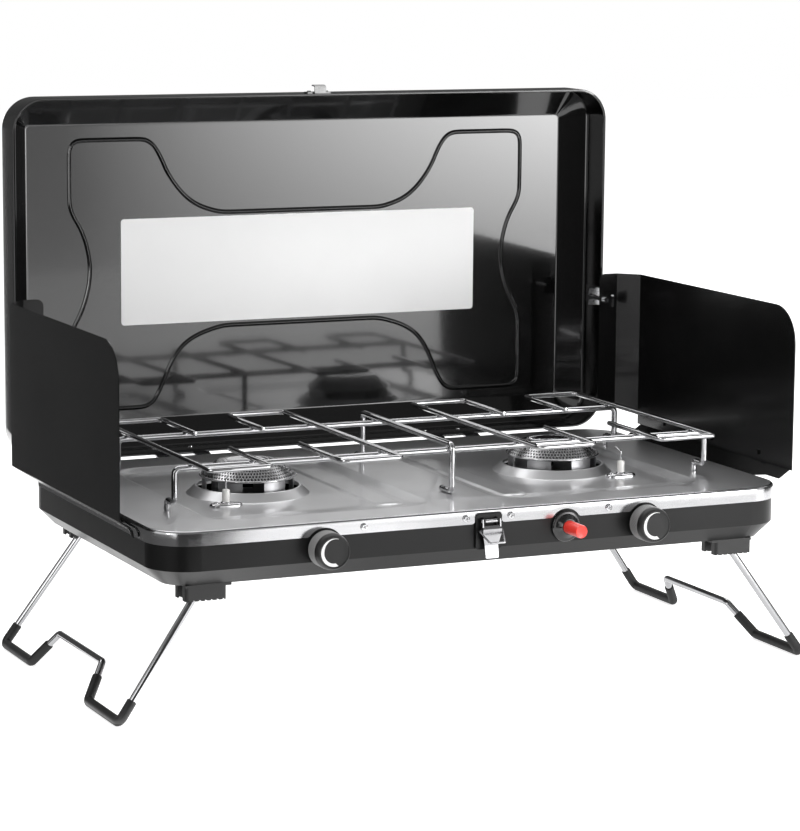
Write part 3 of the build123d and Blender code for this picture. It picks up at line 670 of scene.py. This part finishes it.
front_bar, rear_bar = grate_bar(FRONT_BAR_Y, FRONT_BAR_X), grate_bar(REAR_BAR_Y, REAR_BAR_X)
piece("grate_bar_front_wire", front_bar, "grate", chrome, ["grate_bar_front"])
piece("grate_bar_rear_wire", rear_bar, "grate", chrome, ["grate_bar_rear"])
piece("grate_centre", centre_wire(), "grate", chrome, ["grate_centre_wire"])
for name, places in pot_wires.items():
    piece(name + "_bent", pot_wire(*places), "grate", chrome, [name])
piece("grate_welds", weld_beads(), "grate", chrome)


# Burners and electrodes

cap_low, cap_high = corners_of("burner_cap_right")
CAP_RADIUS = (cap_high[0] - cap_low[0]) / 2
CAP_RIM_Z = cap_low[2]
CAP_CROWN = 0.9
CAP_TOP_RADIUS, CAP_TOP_Z = 27.0, cap_high[2] - CAP_CROWN


def cap_flank(x, y):
    """The cap's flank, pierced by rows of round holes. Each hole fills one cell of the flank."""
    shape = Shape()
    rows, holes, points = 5, 84, 8
    hole_radius, wall = 0.38, 0.35
    low = Vector((CAP_RADIUS - 1.4, CAP_RIM_Z + 1.8))
    high = Vector((CAP_TOP_RADIUS, CAP_TOP_Z))

    def on_flank(u, v):
        p = low + (high - low) * v / rows
        return Vector((*on_circle((x, y), p.x, 2 * math.pi * u / holes), p.y))

    for row in range(rows):
        for k in range(holes):
            u, v = k + 0.5 * (row % 2), row + 0.5
            outer, inner = [], []
            for n in range(points):
                a = 2 * math.pi * (n + 0.5) / points
                du, dv = [max(-0.5, min(0.5, 0.75 * w)) for w in (math.cos(a), math.sin(a))]
                outer.append(on_flank(u + du, v + dv))
                inner.append(on_flank(*on_circle((u, v), hole_radius, a)))
            sunk = [p + Vector(((x - p.x) * 0.012, (y - p.y) * 0.012, -wall)) for p in inner]
            shape.rings([outer, inner, sunk])
    return shape


def burner_cap(x, y):
    """The rolled rim below the flank and the dished plate above it."""
    shape = Shape()
    roll, roll_centre = 0.95, (CAP_RADIUS - 0.9, CAP_RIM_Z + 1.0)
    rim = [on_circle(roll_centre, roll, math.radians(-110 + 290 * k / 12)) for k in range(13)]
    lathe(shape, rim, (x, y, 0), steps=144)
    # How far in from the plate's edge, and how far up
    dish = [
        (-0.1, -0.15), (0.5, 0.45), (1.6, 0.8), (4.0, CAP_CROWN), (6.5, 0.7), (9.0, -0.1), (12.0, -0.8),
        (18.0, -1.1), (23.0, -1.2), (CAP_TOP_RADIUS - 0.01, -1.2),
    ]
    lathe(shape, [(CAP_TOP_RADIUS - inset, CAP_TOP_Z + rise) for inset, rise in dish], (x, y, 0))
    return shape


def cap_lining(x, y):
    """The inside of the cap, near black as painted shade, which shows through the holes."""
    under = [
        (CAP_RADIUS - 2.0, CAP_RIM_Z + 0.9),
        (CAP_RADIUS - 3.8, CAP_RIM_Z + 1.2),
        (CAP_TOP_RADIUS - 1.0, CAP_TOP_Z - 2.2),
        (0.01, CAP_TOP_Z - 2.4),
    ]
    return lathe(Shape(), under, (x, y, 0))


def burner_base(x, y):
    """A drum with six windows that reach up to the cap's rim, on a bowl held by four arms."""
    shape = Shape()
    outer, inner, sill, lintel = 38.0, 36.8, -7.5, 9.2
    half_window = math.asin(9.0 / outer)
    section = ((outer, sill), (outer, lintel), (inner, lintel), (inner, sill))
    for n in range(6):
        first = math.radians(60 * n + 15) + half_window
        last = math.radians(60 * n + 75) - half_window
        rings = []
        for k in range(13):
            a = first + (last - first) * k / 12
            rings.append([(*on_circle((x, y), r, a), z) for r, z in section])
        shape.rings(rings, caps=(True, True))
    bowl = [(inner, sill), (outer, sill), (outer, -12.0), (36.5, -14.0), (14.0, -34.0), (0.01, -34.0)]
    bowl += [(0.01, -32.6), (13.4, -32.6), (35.6, -13.0), (inner, -11.6), (inner, sill)]
    lathe(shape, bowl, (x, y, 0))
    arm_half, arm_sheet = 4.0, 1.1
    arm_section = ((-arm_half, 0), (arm_half, 0), (arm_half, -arm_sheet), (-arm_half, -arm_sheet))
    for n in range(4):
        a = math.radians(90 * n + 45)
        along, across = Vector((math.cos(a), math.sin(a), 0)), Vector((-math.sin(a), math.cos(a), 0))
        rings = []
        for reach in (37.5, 55.5):
            foot = Vector((x, y, -WELL_DEPTH - arm_sheet)) + along * reach
            rings.append([foot + across * u + Vector((0, 0, w)) for u, w in arm_section])
        shape.rings(rings, caps=(True, True))
    return shape


for side, sign in SIDES:
    place = (sign * BURNER[0], BURNER[1])
    for end, build, look, replaced in (
        ("plate", burner_cap, polished, [f"burner_cap_{side}"]),
        ("flank", cap_flank, satin_steel, ()),
        ("lining", cap_lining, hole_shade_black, ()),
    ):
        piece(f"burner_cap_{side}_{end}", build(*place), "base", look, replaced, sharp=40)
for side, sign in SIDES:
    drum = burner_base(sign * BURNER[0], BURNER[1])
    piece(f"burner_base_{side}_drum", drum, "base", drum_zinc, [f"burner_base_{side}"], sharp=30)


def screw_head(shape, centre, radius, height, axis="Z", turn=0.6):
    """A domed screw head with a cross recess."""
    steps, flat = 48, 0.62
    dome = [(radius, 0.0), (radius, height * 0.3), (radius * 0.9, height * 0.7), (radius * flat, height)]
    lathe(shape, dome, centre, axis, steps)
    arm, waist = radius * 0.58, radius * 0.225
    # The edge of the dome's flat top, then the recess from its mouth to its bottom
    rings = []
    for depth, share in ((0.0, None), (0.0, 0.97), (height * 0.75, 0.6)):
        ring = []
        for a in angles_round(steps):
            wave = abs(math.cos(2 * (a - turn)))
            r = radius * flat if share is None else (waist + (arm - waist) * wave**5) * share
            u, v, w = r * math.cos(a), r * math.sin(a), height * 1.02 - depth
            ring.append(Vector(centre) + Vector((u, v, w) if axis == "Z" else (u, -w, v)))
        rings.append(ring)
    shape.rings(rings, caps=(False, True))


CERAMIC_RADIUS = 3.2
ELECTRODE_X = corners_of("electrode_ceramics")[1][0] - CERAMIC_RADIUS
ELECTRODE_Y = corners_of("electrode_ceramics")[1][1] - CERAMIC_RADIUS


def electrode(sign):
    """A long shield plate with a small dome and a screw, the ceramic that stands in it and its bent wire."""
    x, y, floor = sign * ELECTRODE_X, ELECTRODE_Y, -WELL_DEPTH
    shield, white, tip = Shape(), Shape(), Shape()
    half_straight = 7.5
    rings = []
    for end_radius, height in ((6.5, 0.02), (6.5, 0.9), (6.2, 1.6), (5.6, 2.2), (4.6, 2.7)):
        ring = []
        for a in angles_round(40):
            reach = half_straight if math.cos(a) > 0 else -half_straight
            ring.append((*on_circle((x + reach, y), end_radius, a), floor + height))
        rings.append(ring)
    shield.rings(rings, caps=(True, True))
    lathe(shield, [(4.4, 2.6), (4.3, 3.1), (3.8, 3.6), (CERAMIC_RADIUS, 3.9)], (x, y, floor), steps=48)
    screw_head(shield, (x - 9.0, y - 0.5, floor + 2.65), 2.0, 1.3)
    top = [(2.9, 13.4), (2.3, 13.8), (0.9, 14.0), (0.01, 14.0)]
    lathe(white, [(CERAMIC_RADIUS, 3.3), (CERAMIC_RADIUS, 12.6)] + top, (x, y, floor), steps=40)
    points = [(x, y, 9.4), (x, y, 17.5), (x - sign * 3.5, y + 4.0, 21.0)]
    tube(tip, arc_path(points, 2.0), 0.8, 12)
    return shield, white, tip


shields, whites, tips = Shape(), Shape(), Shape()
for sign in (-1, 1):
    for group, part in zip((shields, whites, tips), electrode(sign)):
        group.join(part)
piece("electrode_shields", shields, "base", polished, ["electrode_plates"])
piece("electrode_insulators", whites, "base", ceramic, ["electrode_ceramics"])
piece("electrode_wires", tips, "base", polished, ["electrode_tips"])

SCREW_RADIUS, SCREW_Z = 3.0, -6.5
OUTER_SCREW_X, INNER_SCREW_X = corners_of("band_screws")[1][0] - SCREW_RADIUS, 20.0
screws = Shape()
for n, x in enumerate((-OUTER_SCREW_X, -INNER_SCREW_X, INNER_SCREW_X, OUTER_SCREW_X)):
    screw_head(screws, (x, 0.0, SCREW_Z), SCREW_RADIUS, 1.6, "Y", 0.4 + n * 0.5)
piece("band_screw_heads", screws, "base", chrome, ["band_screws"])


# Lid

(_, LID_RIM, LID_LOW), (LID_HALF, LID_BACK, LID_HIGH) = corners_of("lid_pan")
LID_CORNER, LID_BORDER, LID_SHEET = 28.0, 25.0, 1.0
LID_CREASE, LID_PANEL = 373.4, LID_BACK - LID_SHEET


def lid_ring(inset, y):
    """One outline of the lid at a depth y, in the upright plane."""
    corner = max(LID_CORNER - inset, 4.0)
    outline = rounded_outline(LID_HALF - inset, LID_LOW + inset, LID_HIGH - inset, corner, 16)
    return [(u, y, v) for u, v in outline]


def lid_profile(offset):
    """Pairs of inset and depth from the rim to the panel, with the creases rounded."""
    slope = math.atan2(LID_PANEL - LID_CREASE, LID_BORDER)
    turn = math.pi / 2 - slope
    rounding = 4.0
    profile = [(offset, LID_RIM)]
    depth = LID_CREASE + offset * 0.6 - rounding * math.tan(turn / 2)
    for k in range(6):
        a = turn * k / 5
        profile.append((offset + rounding * (1 - math.cos(a)), depth + rounding * math.sin(a)))
    inset = offset * 0.6 + LID_BORDER + rounding * math.tan(slope / 2)
    depth = LID_PANEL + LID_SHEET - offset
    for k in range(6):
        a = slope * (1 - k / 5)
        profile.append((inset - rounding * math.sin(a), depth - rounding * (1 - math.cos(a))))
    return profile


def emboss_path():
    # The right half from the top down, in shares of the lid's half width and height
    shares = [
        (0.282, 0.660), (0.373, 0.689), (0.444, 0.760), (0.482, 0.840), (0.518, 0.873), (0.750, 0.873),
        (0.771, 0.853), (0.771, 0.679), (0.722, 0.606), (0.701, 0.506), (0.725, 0.407), (0.773, 0.330),
        (0.775, 0.131), (0.754, 0.112), (0.521, 0.112), (0.486, 0.141), (0.437, 0.250), (0.380, 0.304),
        (0.275, 0.335),
    ]
    half = [(u * LID_HALF, v * LID_HIGH) for u, v in shares]
    return half + [(-x, z) for x, z in reversed(half)]


def smooth_loop(points, rounds=3):
    """Corner cutting, which turns the outline into even curves."""
    long_side, blend = 45.0, 4.0
    points = [Vector(p) for p in points]
    for _ in range(rounds):
        cut = []
        for i, p in enumerate(points):
            q = points[(i + 1) % len(points)]
            length = (q - p).length
            near = 0.25 if length < long_side else blend / length
            cut += [p.lerp(q, near), p.lerp(q, 1 - near)]
        points = cut
    return points


def emboss_shape():
    """The pressed line, a low ridge that stands out of the panel to the front."""
    shape = Shape()
    loop = smooth_loop(emboss_path())
    section = [(-2.4, 0.05), (-1.5, -0.10), (-0.9, -0.60), (-0.3, -1.05), (0, -1.15)]
    section += [(-u, w) for u, w in reversed(section[:-1])]
    rings = []
    for u, w in section:
        ring = []
        for i, p in enumerate(loop):
            along = (loop[(i + 1) % len(loop)] - loop[i - 1]).normalized()
            normal = Vector((along.y, -along.x))
            q = p + normal * u
            ring.append((q.x, LID_PANEL + w, q.y))
        rings.append(ring)
    shape.rings(rings)
    return shape


def lid_shape():
    """The pan's inside, its lip and its outside. The lip is given by inset and depth behind the rim."""
    shape = Shape()
    inside = [lid_ring(inset, y) for inset, y in lid_profile(LID_SHEET)]
    outside = [lid_ring(inset, y) for inset, y in lid_profile(0.0)]
    lip_profile = ((LID_SHEET, 2.6), (2.2, 2.2), (2.5, 1.2), (2.2, 0.3), (1.5, 0.0), (0.4, 0.1), (0.0, 0.6))
    lip = [lid_ring(inset, LID_RIM + behind) for inset, behind in lip_profile]
    shape.rings(inside[1:], caps=(False, True))
    shape.rings([inside[1]] + lip)
    shape.rings([lip[-1]] + outside[1:], caps=(False, True))
    return shape


piece("lid_pressing", lid_shape(), "lid", lid_enamel, ["lid_pan"], sharp=28)
piece("lid_embossed_line", emboss_shape(), "lid", lid_enamel, sharp=60, closed=False)

LABEL_HALF, LABEL_LOW, LABEL_HIGH, LABEL_THICK = corners_of("label_plate")[1][0], 108.5, 202.5, 0.4
label_outline = rounded_outline(LABEL_HALF, LABEL_LOW, LABEL_HIGH, 3.0, 8)
label = upright_plate(label_outline, LID_PANEL - LABEL_THICK, LABEL_THICK - 0.01, 0.08)
piece("blank_plate", label, "lid", label_white, ["label_plate"])

RIVET_RADIUS, RIVET_HEIGHT, RIVET_SPACING = 2.6, 1.0, 34.0
OUTER_RIVET_X = corners_of("lid_rivets")[1][0] - RIVET_RADIUS
rivet_y = middle_of("lid_rivets")[1]
rivets = Shape()
for sign in (-1, 1):
    for x in (OUTER_RIVET_X - RIVET_SPACING, OUTER_RIVET_X):
        dome = [(RIVET_RADIUS, 0.0), (2.5, 0.5), (1.9, 0.9), (1.0, RIVET_HEIGHT), (0.01, RIVET_HEIGHT)]
        lathe(rivets, dome, (sign * x, rivet_y, LID_LOW + LID_SHEET), steps=24)
piece("lid_rivet_heads", rivets, "lid", chrome, ["lid_rivets"])


# Knobs and igniter

KNOB_RADIUS = middle_of("knob_right")[2] - corners_of("knob_right")[0][2]
KNOB_FRONT = -corners_of("knob_right")[0][1]
KNURL_START, KNURL_END, KNURL_DEPTH = 2.0, 12.4, 0.32


def knurl(a, radius, height):
    """Crossed ridges round the grip, as a change of its radius."""
    if not KNURL_START < height < KNURL_END or radius < KNOB_RADIUS - 0.3:
        return 0.0
    u, v = a * 30 / math.pi, height / 1.5
    ridge = abs(math.sin(math.pi * (u + v) / 2) * math.sin(math.pi * (u - v) / 2))
    return KNURL_DEPTH * (ridge - 1)


def knob(x):
    """The grip with its knurls, the face and the white mark, which widens along an arc on the face."""
    grip, face, mark = Shape(), Shape(), Shape()
    body = [(5.0, 1.4), (KNOB_RADIUS - 0.8, 1.4), (KNOB_RADIUS, KNURL_START)]
    body += [(KNOB_RADIUS, 2.2 + 0.34 * k) for k in range(31)]
    body += [(KNOB_RADIUS - 0.1, 12.7), (KNOB_RADIUS - 0.5, 13.0)]
    lathe(grip, body, (x, 0, KNOB_Z), "Y", 240, knurl)
    # How far in from the knob's edge, and how far behind its front
    front = [
        (0.5, 7.0), (0.55, 6.5), (0.25, 6.1), (0.2, 4.8), (0.6, 2.6), (1.3, 0.8), (1.9, 0.1), (2.3, 0.0),
        (2.7, 0.15), (3.0, 0.5), (3.4, 0.6), (8.7, 0.55), (KNOB_RADIUS - 0.01, 0.5),
    ]
    lathe(face, [(KNOB_RADIUS - inset, KNOB_FRONT - back) for inset, back in front], (x, 0, KNOB_Z), "Y", 120)
    mark_radius, mark_y = KNOB_RADIUS - 3.5, 0.53 - KNOB_FRONT
    mark_start, mark_sweep = 72, 216
    thin, wider = 0.3, 2.3
    rings = [[], []]
    for k in range(61):
        share = k / 60
        a = math.radians(mark_start + mark_sweep * share)
        breadth = (thin + wider * ease(share / 0.5)) * ease((1 - share) / 0.05)
        for ring, r in zip(rings, (mark_radius, mark_radius - max(breadth, 0.02))):
            ring.append((x + r * math.cos(a), mark_y, KNOB_Z + r * math.sin(a)))
    mark.rings(rings, closed=False)
    return grip, face, mark


for side, sign in SIDES:
    grip, face, mark = knob(sign * KNOB_X)
    piece(f"knob_{side}_grip", grip, f"knob_{side}", knob_side, [f"knob_{side}"], sharp=60)
    piece(f"knob_{side}_front", face, f"knob_{side}", knob_face)
    piece(f"knob_{side}_mark", mark, f"knob_{side}", white_print, closed=False)

igniter_place = (IGNITER_X, 0, IGNITER_Z)
bezel_profile = [
    (12.6, -1.0), (12.8, 0.2), (12.8, 1.0), (12.4, 1.7), (11.8, 2.15), (11.2, 2.2), (10.4, 2.3), (9.9, 2.6),
    (9.4, 3.0), (8.0, 4.4), (6.8, 5.6), (6.4, 6.1), (6.0, 6.2), (5.6, 6.2), (5.5, 5.6), (5.5, 2.0),
]
bezel = lathe(Shape(), bezel_profile, igniter_place, "Y")
piece("igniter_ring", bezel, "base", gloss_black, ["igniter_bezel"])
button_profile = [
    (5.4, -6.0), (5.4, 26.7), (5.2, 27.3), (4.8, 27.55), (4.4, 27.45), (4.0, 27.3), (0.01, 27.3),
]
button = lathe(Shape(), button_profile, igniter_place, "Y", 64)
piece("igniter_cap", button, "igniter_button", red_plastic, ["igniter_button"])


# Legs

LEG_WIRE, SLEEVE = 3.0, 4.0
leg_low, leg_high = corners_of("leg_wire_right")
PIVOT = (leg_low[0] + LEG_WIRE, leg_high[2] - LEG_WIRE)
FLOOR_CORNER = (leg_high[0] - LEG_WIRE, leg_low[2] + LEG_WIRE)
LEG_ARM_Y, LEG_TOE_Y, LEG_RISE_Y, LEG_RUN_Y = 28.0, 18.0, 91.0, 109.5
RUN_SHARE, ARM_SLEEVE_SHARE, RUN_SLEEVE_SHARE = 0.735, 0.84, 0.83
AXLE_END = 38.5


def leg_point(share, y):
    """A point of the leg, a share of the way from its pivot to the floor."""
    x = PIVOT[0] + share * (FLOOR_CORNER[0] - PIVOT[0])
    z = PIVOT[1] + share * (FLOOR_CORNER[1] - PIVOT[1])
    return x, y, z


def leg_wire():
    front = [
        (PIVOT[0], AXLE_END, PIVOT[1]),
        leg_point(0, LEG_ARM_Y),
        leg_point(1, LEG_TOE_Y),
        leg_point(1, LEG_RISE_Y),
        leg_point(RUN_SHARE, LEG_RUN_Y),
    ]
    rear = [(x, DEPTH - y, z) for x, y, z in reversed(front)]
    return bent_wire(front + rear, [4, 5, 5, 5, 5, 5, 5, 4], LEG_WIRE, 24)


def leg_sleeve():
    points = [
        leg_point(ARM_SLEEVE_SHARE, LEG_ARM_Y + ARM_SLEEVE_SHARE * (LEG_TOE_Y - LEG_ARM_Y)),
        leg_point(1, LEG_TOE_Y),
        leg_point(1, LEG_RISE_Y),
        leg_point(RUN_SLEEVE_SHARE, LEG_RISE_Y + (LEG_RUN_Y - LEG_RISE_Y) * 0.64),
    ]
    return bent_wire(points, 5.0, SLEEVE, 24, 0.22)


for side in ("right", "left"):
    wire, sleeve = leg_wire(), leg_sleeve()
    if side == "left":
        wire, sleeve = wire.mirrored(), sleeve.mirrored()
    body = f"leg_{side}"
    # The leg wires take the darker chrome, with its painted shade
    piece(f"{body}_frame", wire, body, leg_chrome_shaded, [f"leg_wire_{side}"])
    for end, part in (("front", sleeve), ("rear", sleeve.swapped_ends())):
        piece(f"{body}_{end}_grip", part, body, sleeve_rubber, [f"leg_sleeve_{end}_{side}"])


# Latch bail

BAIL_WIRE = 0.9
BAIL_PIVOT = tuple(v - BAIL_WIRE for v in corners_of("latch_bail")[1][1:])
BAIL_TIP = (BAIL_PIVOT[0] - 12.6, BAIL_PIVOT[1] - 8.0)
bail_half = [(7.4, *BAIL_PIVOT), (10.2, *BAIL_PIVOT), (6.6, *BAIL_TIP)]
bail_points = bail_half + [(-x, y, z) for x, y, z in reversed(bail_half)]
bail = tube(Shape(), arc_path(bail_points, 1.2), BAIL_WIRE)
piece("latch_bail_loop", bail, "latch_bail", zinc, ["latch_bail"])


# The CAD parts that keep their own shape


def pairs(*names):
    return [f"{name}_{side}" for name in names for side, _ in SIDES]


finishes = {
    case_enamel: ["lower_case", "latch_plate"],
    screen_enamel: pairs("windscreen"),
    plastic: ["igniter_body", *pairs("foot_front", "foot_rear")],
    zinc: ["latch_lever", "hinge_pins", *pairs("hinge_base_leaf", "hinge_lid_leaf", "screw_bracket")],
    # The lid catch is chrome, drawn near black as painted shade
    catch_shaded_chrome: ["lid_catch"],
    chrome: pairs("thumb_screw"),
    brass: ["gas_inlet", *pairs("valve", "valve_stem")],
    aluminium: ["manifold_pipe", "mixing_tubes"],
}
for material, names in finishes.items():
    for name in names:
        finish_node(name, material)


# Floor, background, lamps and cards, all in metres, and the camera


def seen_directly(tree):
    """One for rays sent by the camera or a reflection, and zero for rays that light what they leave."""
    rays = add_node(tree, "LightPath")
    total = rays.outputs["Is Camera Ray"]
    for name in ("Is Glossy Ray", "Is Transmission Ray"):
        joined = add_node(tree, "Math")
        joined.operation = "MAXIMUM"
        tree.links.new(total, joined.inputs[0])
        tree.links.new(rays.outputs[name], joined.inputs[1])
        total = joined.outputs[0]
    return total


def stage_sheet(name, low, high, material):
    """A flat sheet, level or upright, between two opposite corners."""
    (x0, y0, z0), (x1, y1, z1) = low, high
    if z0 == z1:
        corners = [(x0, y0, z0), (x1, y0, z0), (x1, y1, z0), (x0, y1, z0)]
    else:
        corners = [(x0, y0, z0), (x1, y1, z0), (x1, y1, z1), (x0, y0, z1)]
    mesh = bpy.data.meshes.new(name)
    mesh.from_pydata(corners, [], [(0, 1, 2, 3)])
    mesh.materials.append(material)
    obj = link_object(name, mesh)
    return obj


FLOOR_REACH, FLOOR_GLOW = 7.0, 0.8
BACKDROP_LIGHT, BACKDROP_SEEN = 0.4, 1.0
floor_z = cad_box[0][2]
floor_material, floor_tree, floor_shader = node_material("floor_white")
floor_shader.inputs["Base Color"].default_value = (0.9, 0.9, 0.9, 1)
floor_shader.inputs["Roughness"].default_value = 0.9
floor_shader.inputs["Specular IOR Level"].default_value = 0.1
floor_shader.inputs["Emission Color"].default_value = (1, 1, 1, 1)
glow = add_node(floor_tree, "Math")
glow.operation = "MULTIPLY"
glow.inputs[1].default_value = FLOOR_GLOW
floor_tree.links.new(seen_directly(floor_tree), glow.inputs[0])
floor_tree.links.new(glow.outputs[0], floor_shader.inputs["Emission Strength"])
floor_low, floor_high = [(reach, reach, floor_z - 0.0002) for reach in (-FLOOR_REACH, FLOOR_REACH)]
stage_sheet("floor", floor_low, floor_high, floor_material)

world = bpy.data.worlds.new("studio")
bpy.context.scene.world = world
world.use_nodes = True
world_tree = world.node_tree
background = world_tree.nodes["Background"]
background.inputs["Color"].default_value = (1, 1, 1, 1)
strength = add_node(world_tree, "Mix")
strength.data_type = "FLOAT"
strength.inputs["A"].default_value = BACKDROP_LIGHT
strength.inputs["B"].default_value = BACKDROP_SEEN
world_tree.links.new(seen_directly(world_tree), strength.inputs["Factor"])
world_tree.links.new(strength.outputs["Result"], background.inputs["Strength"])


def lamp(name, place, target, size, radiance, reflected=True):
    data = bpy.data.lights.new(name, "AREA")
    data.shape = "RECTANGLE"
    data.size, data.size_y = size
    data.energy = radiance * math.pi * size[0] * size[1]
    obj = link_object(name, data)
    obj.location = place
    obj.rotation_euler = (Vector(target) - Vector(place)).to_track_quat("-Z", "Y").to_euler()
    obj.visible_glossy = reflected


aim = (0.0, 0.0, 0.25)
lamp("overhead_rear", (0.1, 1.05, 1.8), (0.1, 0.9, 0.15), (2.8, 1.2), 1.6)
lamp("front_left", (-1.9, -1.2, 0.9), aim, (0.8, 1.0), 1.4)
lamp("front_fill", (0.5, -2.4, 0.7), aim, (2.6, 1.8), 1.7, reflected=False)
lamp("top_fill", (0.0, -0.2, 1.9), aim, (2.4, 1.6), 0.8, reflected=False)


def glow_material(name, radiance):
    """A material that only glows, with its tree and nodes for what a caller adds."""
    material, tree, _ = node_material(name)
    tree.nodes.clear()
    glow = add_node(tree, "Emission", Strength=radiance)
    output = add_node(tree, "OutputMaterial")
    tree.links.new(glow.outputs["Emission"], output.inputs["Surface"])
    return material, tree, glow, output


def fading_glow(name, peak, x_span, z_span):
    """Light that grows from nothing to its peak along X and Z, added to what lies behind."""
    material, tree, glow, output = glow_material(name, peak)
    coords = add_node(tree, "TexCoord")
    axes = add_node(tree, "SeparateXYZ")
    tree.links.new(coords.outputs["Object"], axes.inputs["Vector"])
    product = add_node(tree, "Math")
    product.operation = "MULTIPLY"
    for place, axis, (start, end), top in ((0, "X", x_span, peak), (1, "Z", z_span, 1.0)):
        tree.links.new(ramp(tree, axes.outputs[axis], 0.0, top, start, end), product.inputs[place])
    tree.links.new(product.outputs["Value"], glow.inputs["Strength"])
    clear = add_node(tree, "BsdfTransparent")
    both = add_node(tree, "AddShader")
    tree.links.new(glow.outputs["Emission"], both.inputs[0])
    tree.links.new(clear.outputs["BSDF"], both.inputs[1])
    tree.links.new(both.outputs["Shader"], output.inputs["Surface"])
    return material


def card(name, low, high, material, light=False):
    """A sheet that shows in reflections only, and sheds light if light says so."""
    obj = stage_sheet(name, low, high, material)
    obj.visible_camera = False
    obj.visible_shadow = False
    obj.visible_diffuse = light


# Two cards that glow more towards one end: one in front, and one on the floor by the case
card_z, flag_z = floor_z + 0.003, floor_z + 0.004
key_glow = fading_glow("key_glow", 13.0, (0.28, 1.0), (0.04, 0.34))
card("key_card", (0.12, -1.15, 0.04), (1.15, -1.15, 0.62), key_glow, light=True)
floor_glow = fading_glow("floor_glow", 1.6, (-0.05, -0.24), (-1.0, 0.0))
card("floor_card", (-0.32, -0.30, card_z), (-0.02, -0.06, card_z), floor_glow)

# A bright strip, and flags that hide the backdrop from the metal and are mostly darker
for name, low, high, radiance in (
    ("strip_card", (-1.75, -0.70, 0.12), (-1.30, -0.70, 0.75), 7.0),
    ("flag_rear_left", (-2.6, 0.57, 0.0), (-0.36, 0.57, 1.0), 0.10),
    ("flag_front_left", (-0.75, -0.68, 0.0), (-0.02, -0.68, 0.40), 0.06),
    ("flag_rear", (-1.2, 1.6, 0.40), (1.6, 1.6, 1.35), 0.08),
    ("flag_floor_left", (-1.8, -0.9, flag_z), (-0.36, 0.57, flag_z), 0.12),
    ("flag_floor_front", (0.24, -1.12, flag_z), (0.95, -0.70, flag_z), 1.3),
    ("flag_right", (1.2, -0.5, 0.0), (1.2, 1.0, 0.75), 0.1),
    ("flag_ceiling_front", (-2.0, -2.5, 1.6), (2.0, -0.6, 1.6), 0.15),
    ("flag_ceiling", (-2.5, -0.6, 1.7), (2.5, 0.42, 1.7), 0.35),
):
    card(name, low, high, glow_material(name, radiance)[0])

# The camera was found from the photograph: its place, its turn and the lens, by its focal length in pixels
CAMERA_PLACE = (-1095.59, -2208.05, 468.27)
AZIMUTH, DOWN, ROLL = math.radians(-24.73), math.radians(9.07), math.radians(0.48)
FOCAL_PIXELS, LONG_SIDE = 3137.3, 831.0
SENSOR = 36.0

level = Vector((math.cos(AZIMUTH), math.sin(AZIMUTH), 0))
ahead = Vector((-math.sin(AZIMUTH), math.cos(AZIMUTH), 0))
forward = ahead * math.cos(DOWN) - Vector((0, 0, math.sin(DOWN)))
upward = level.cross(forward)
right = level * math.cos(ROLL) + upward * math.sin(ROLL)
up = upward * math.cos(ROLL) - level * math.sin(ROLL)
camera_data = bpy.data.cameras.new("camera")
camera_data.sensor_fit = "AUTO"
camera_data.sensor_width = SENSOR
camera_data.lens = FOCAL_PIXELS * SENSOR / LONG_SIDE
camera_data.clip_end = 50.0
camera = link_object("camera", camera_data)
turn = Matrix((right, up, -forward)).transposed().to_4x4()
camera.matrix_world = Matrix.Translation(at(*CAMERA_PLACE)) @ turn
bpy.context.scene.camera = camera
bpy.context.scene.view_settings.view_transform = "Standard"
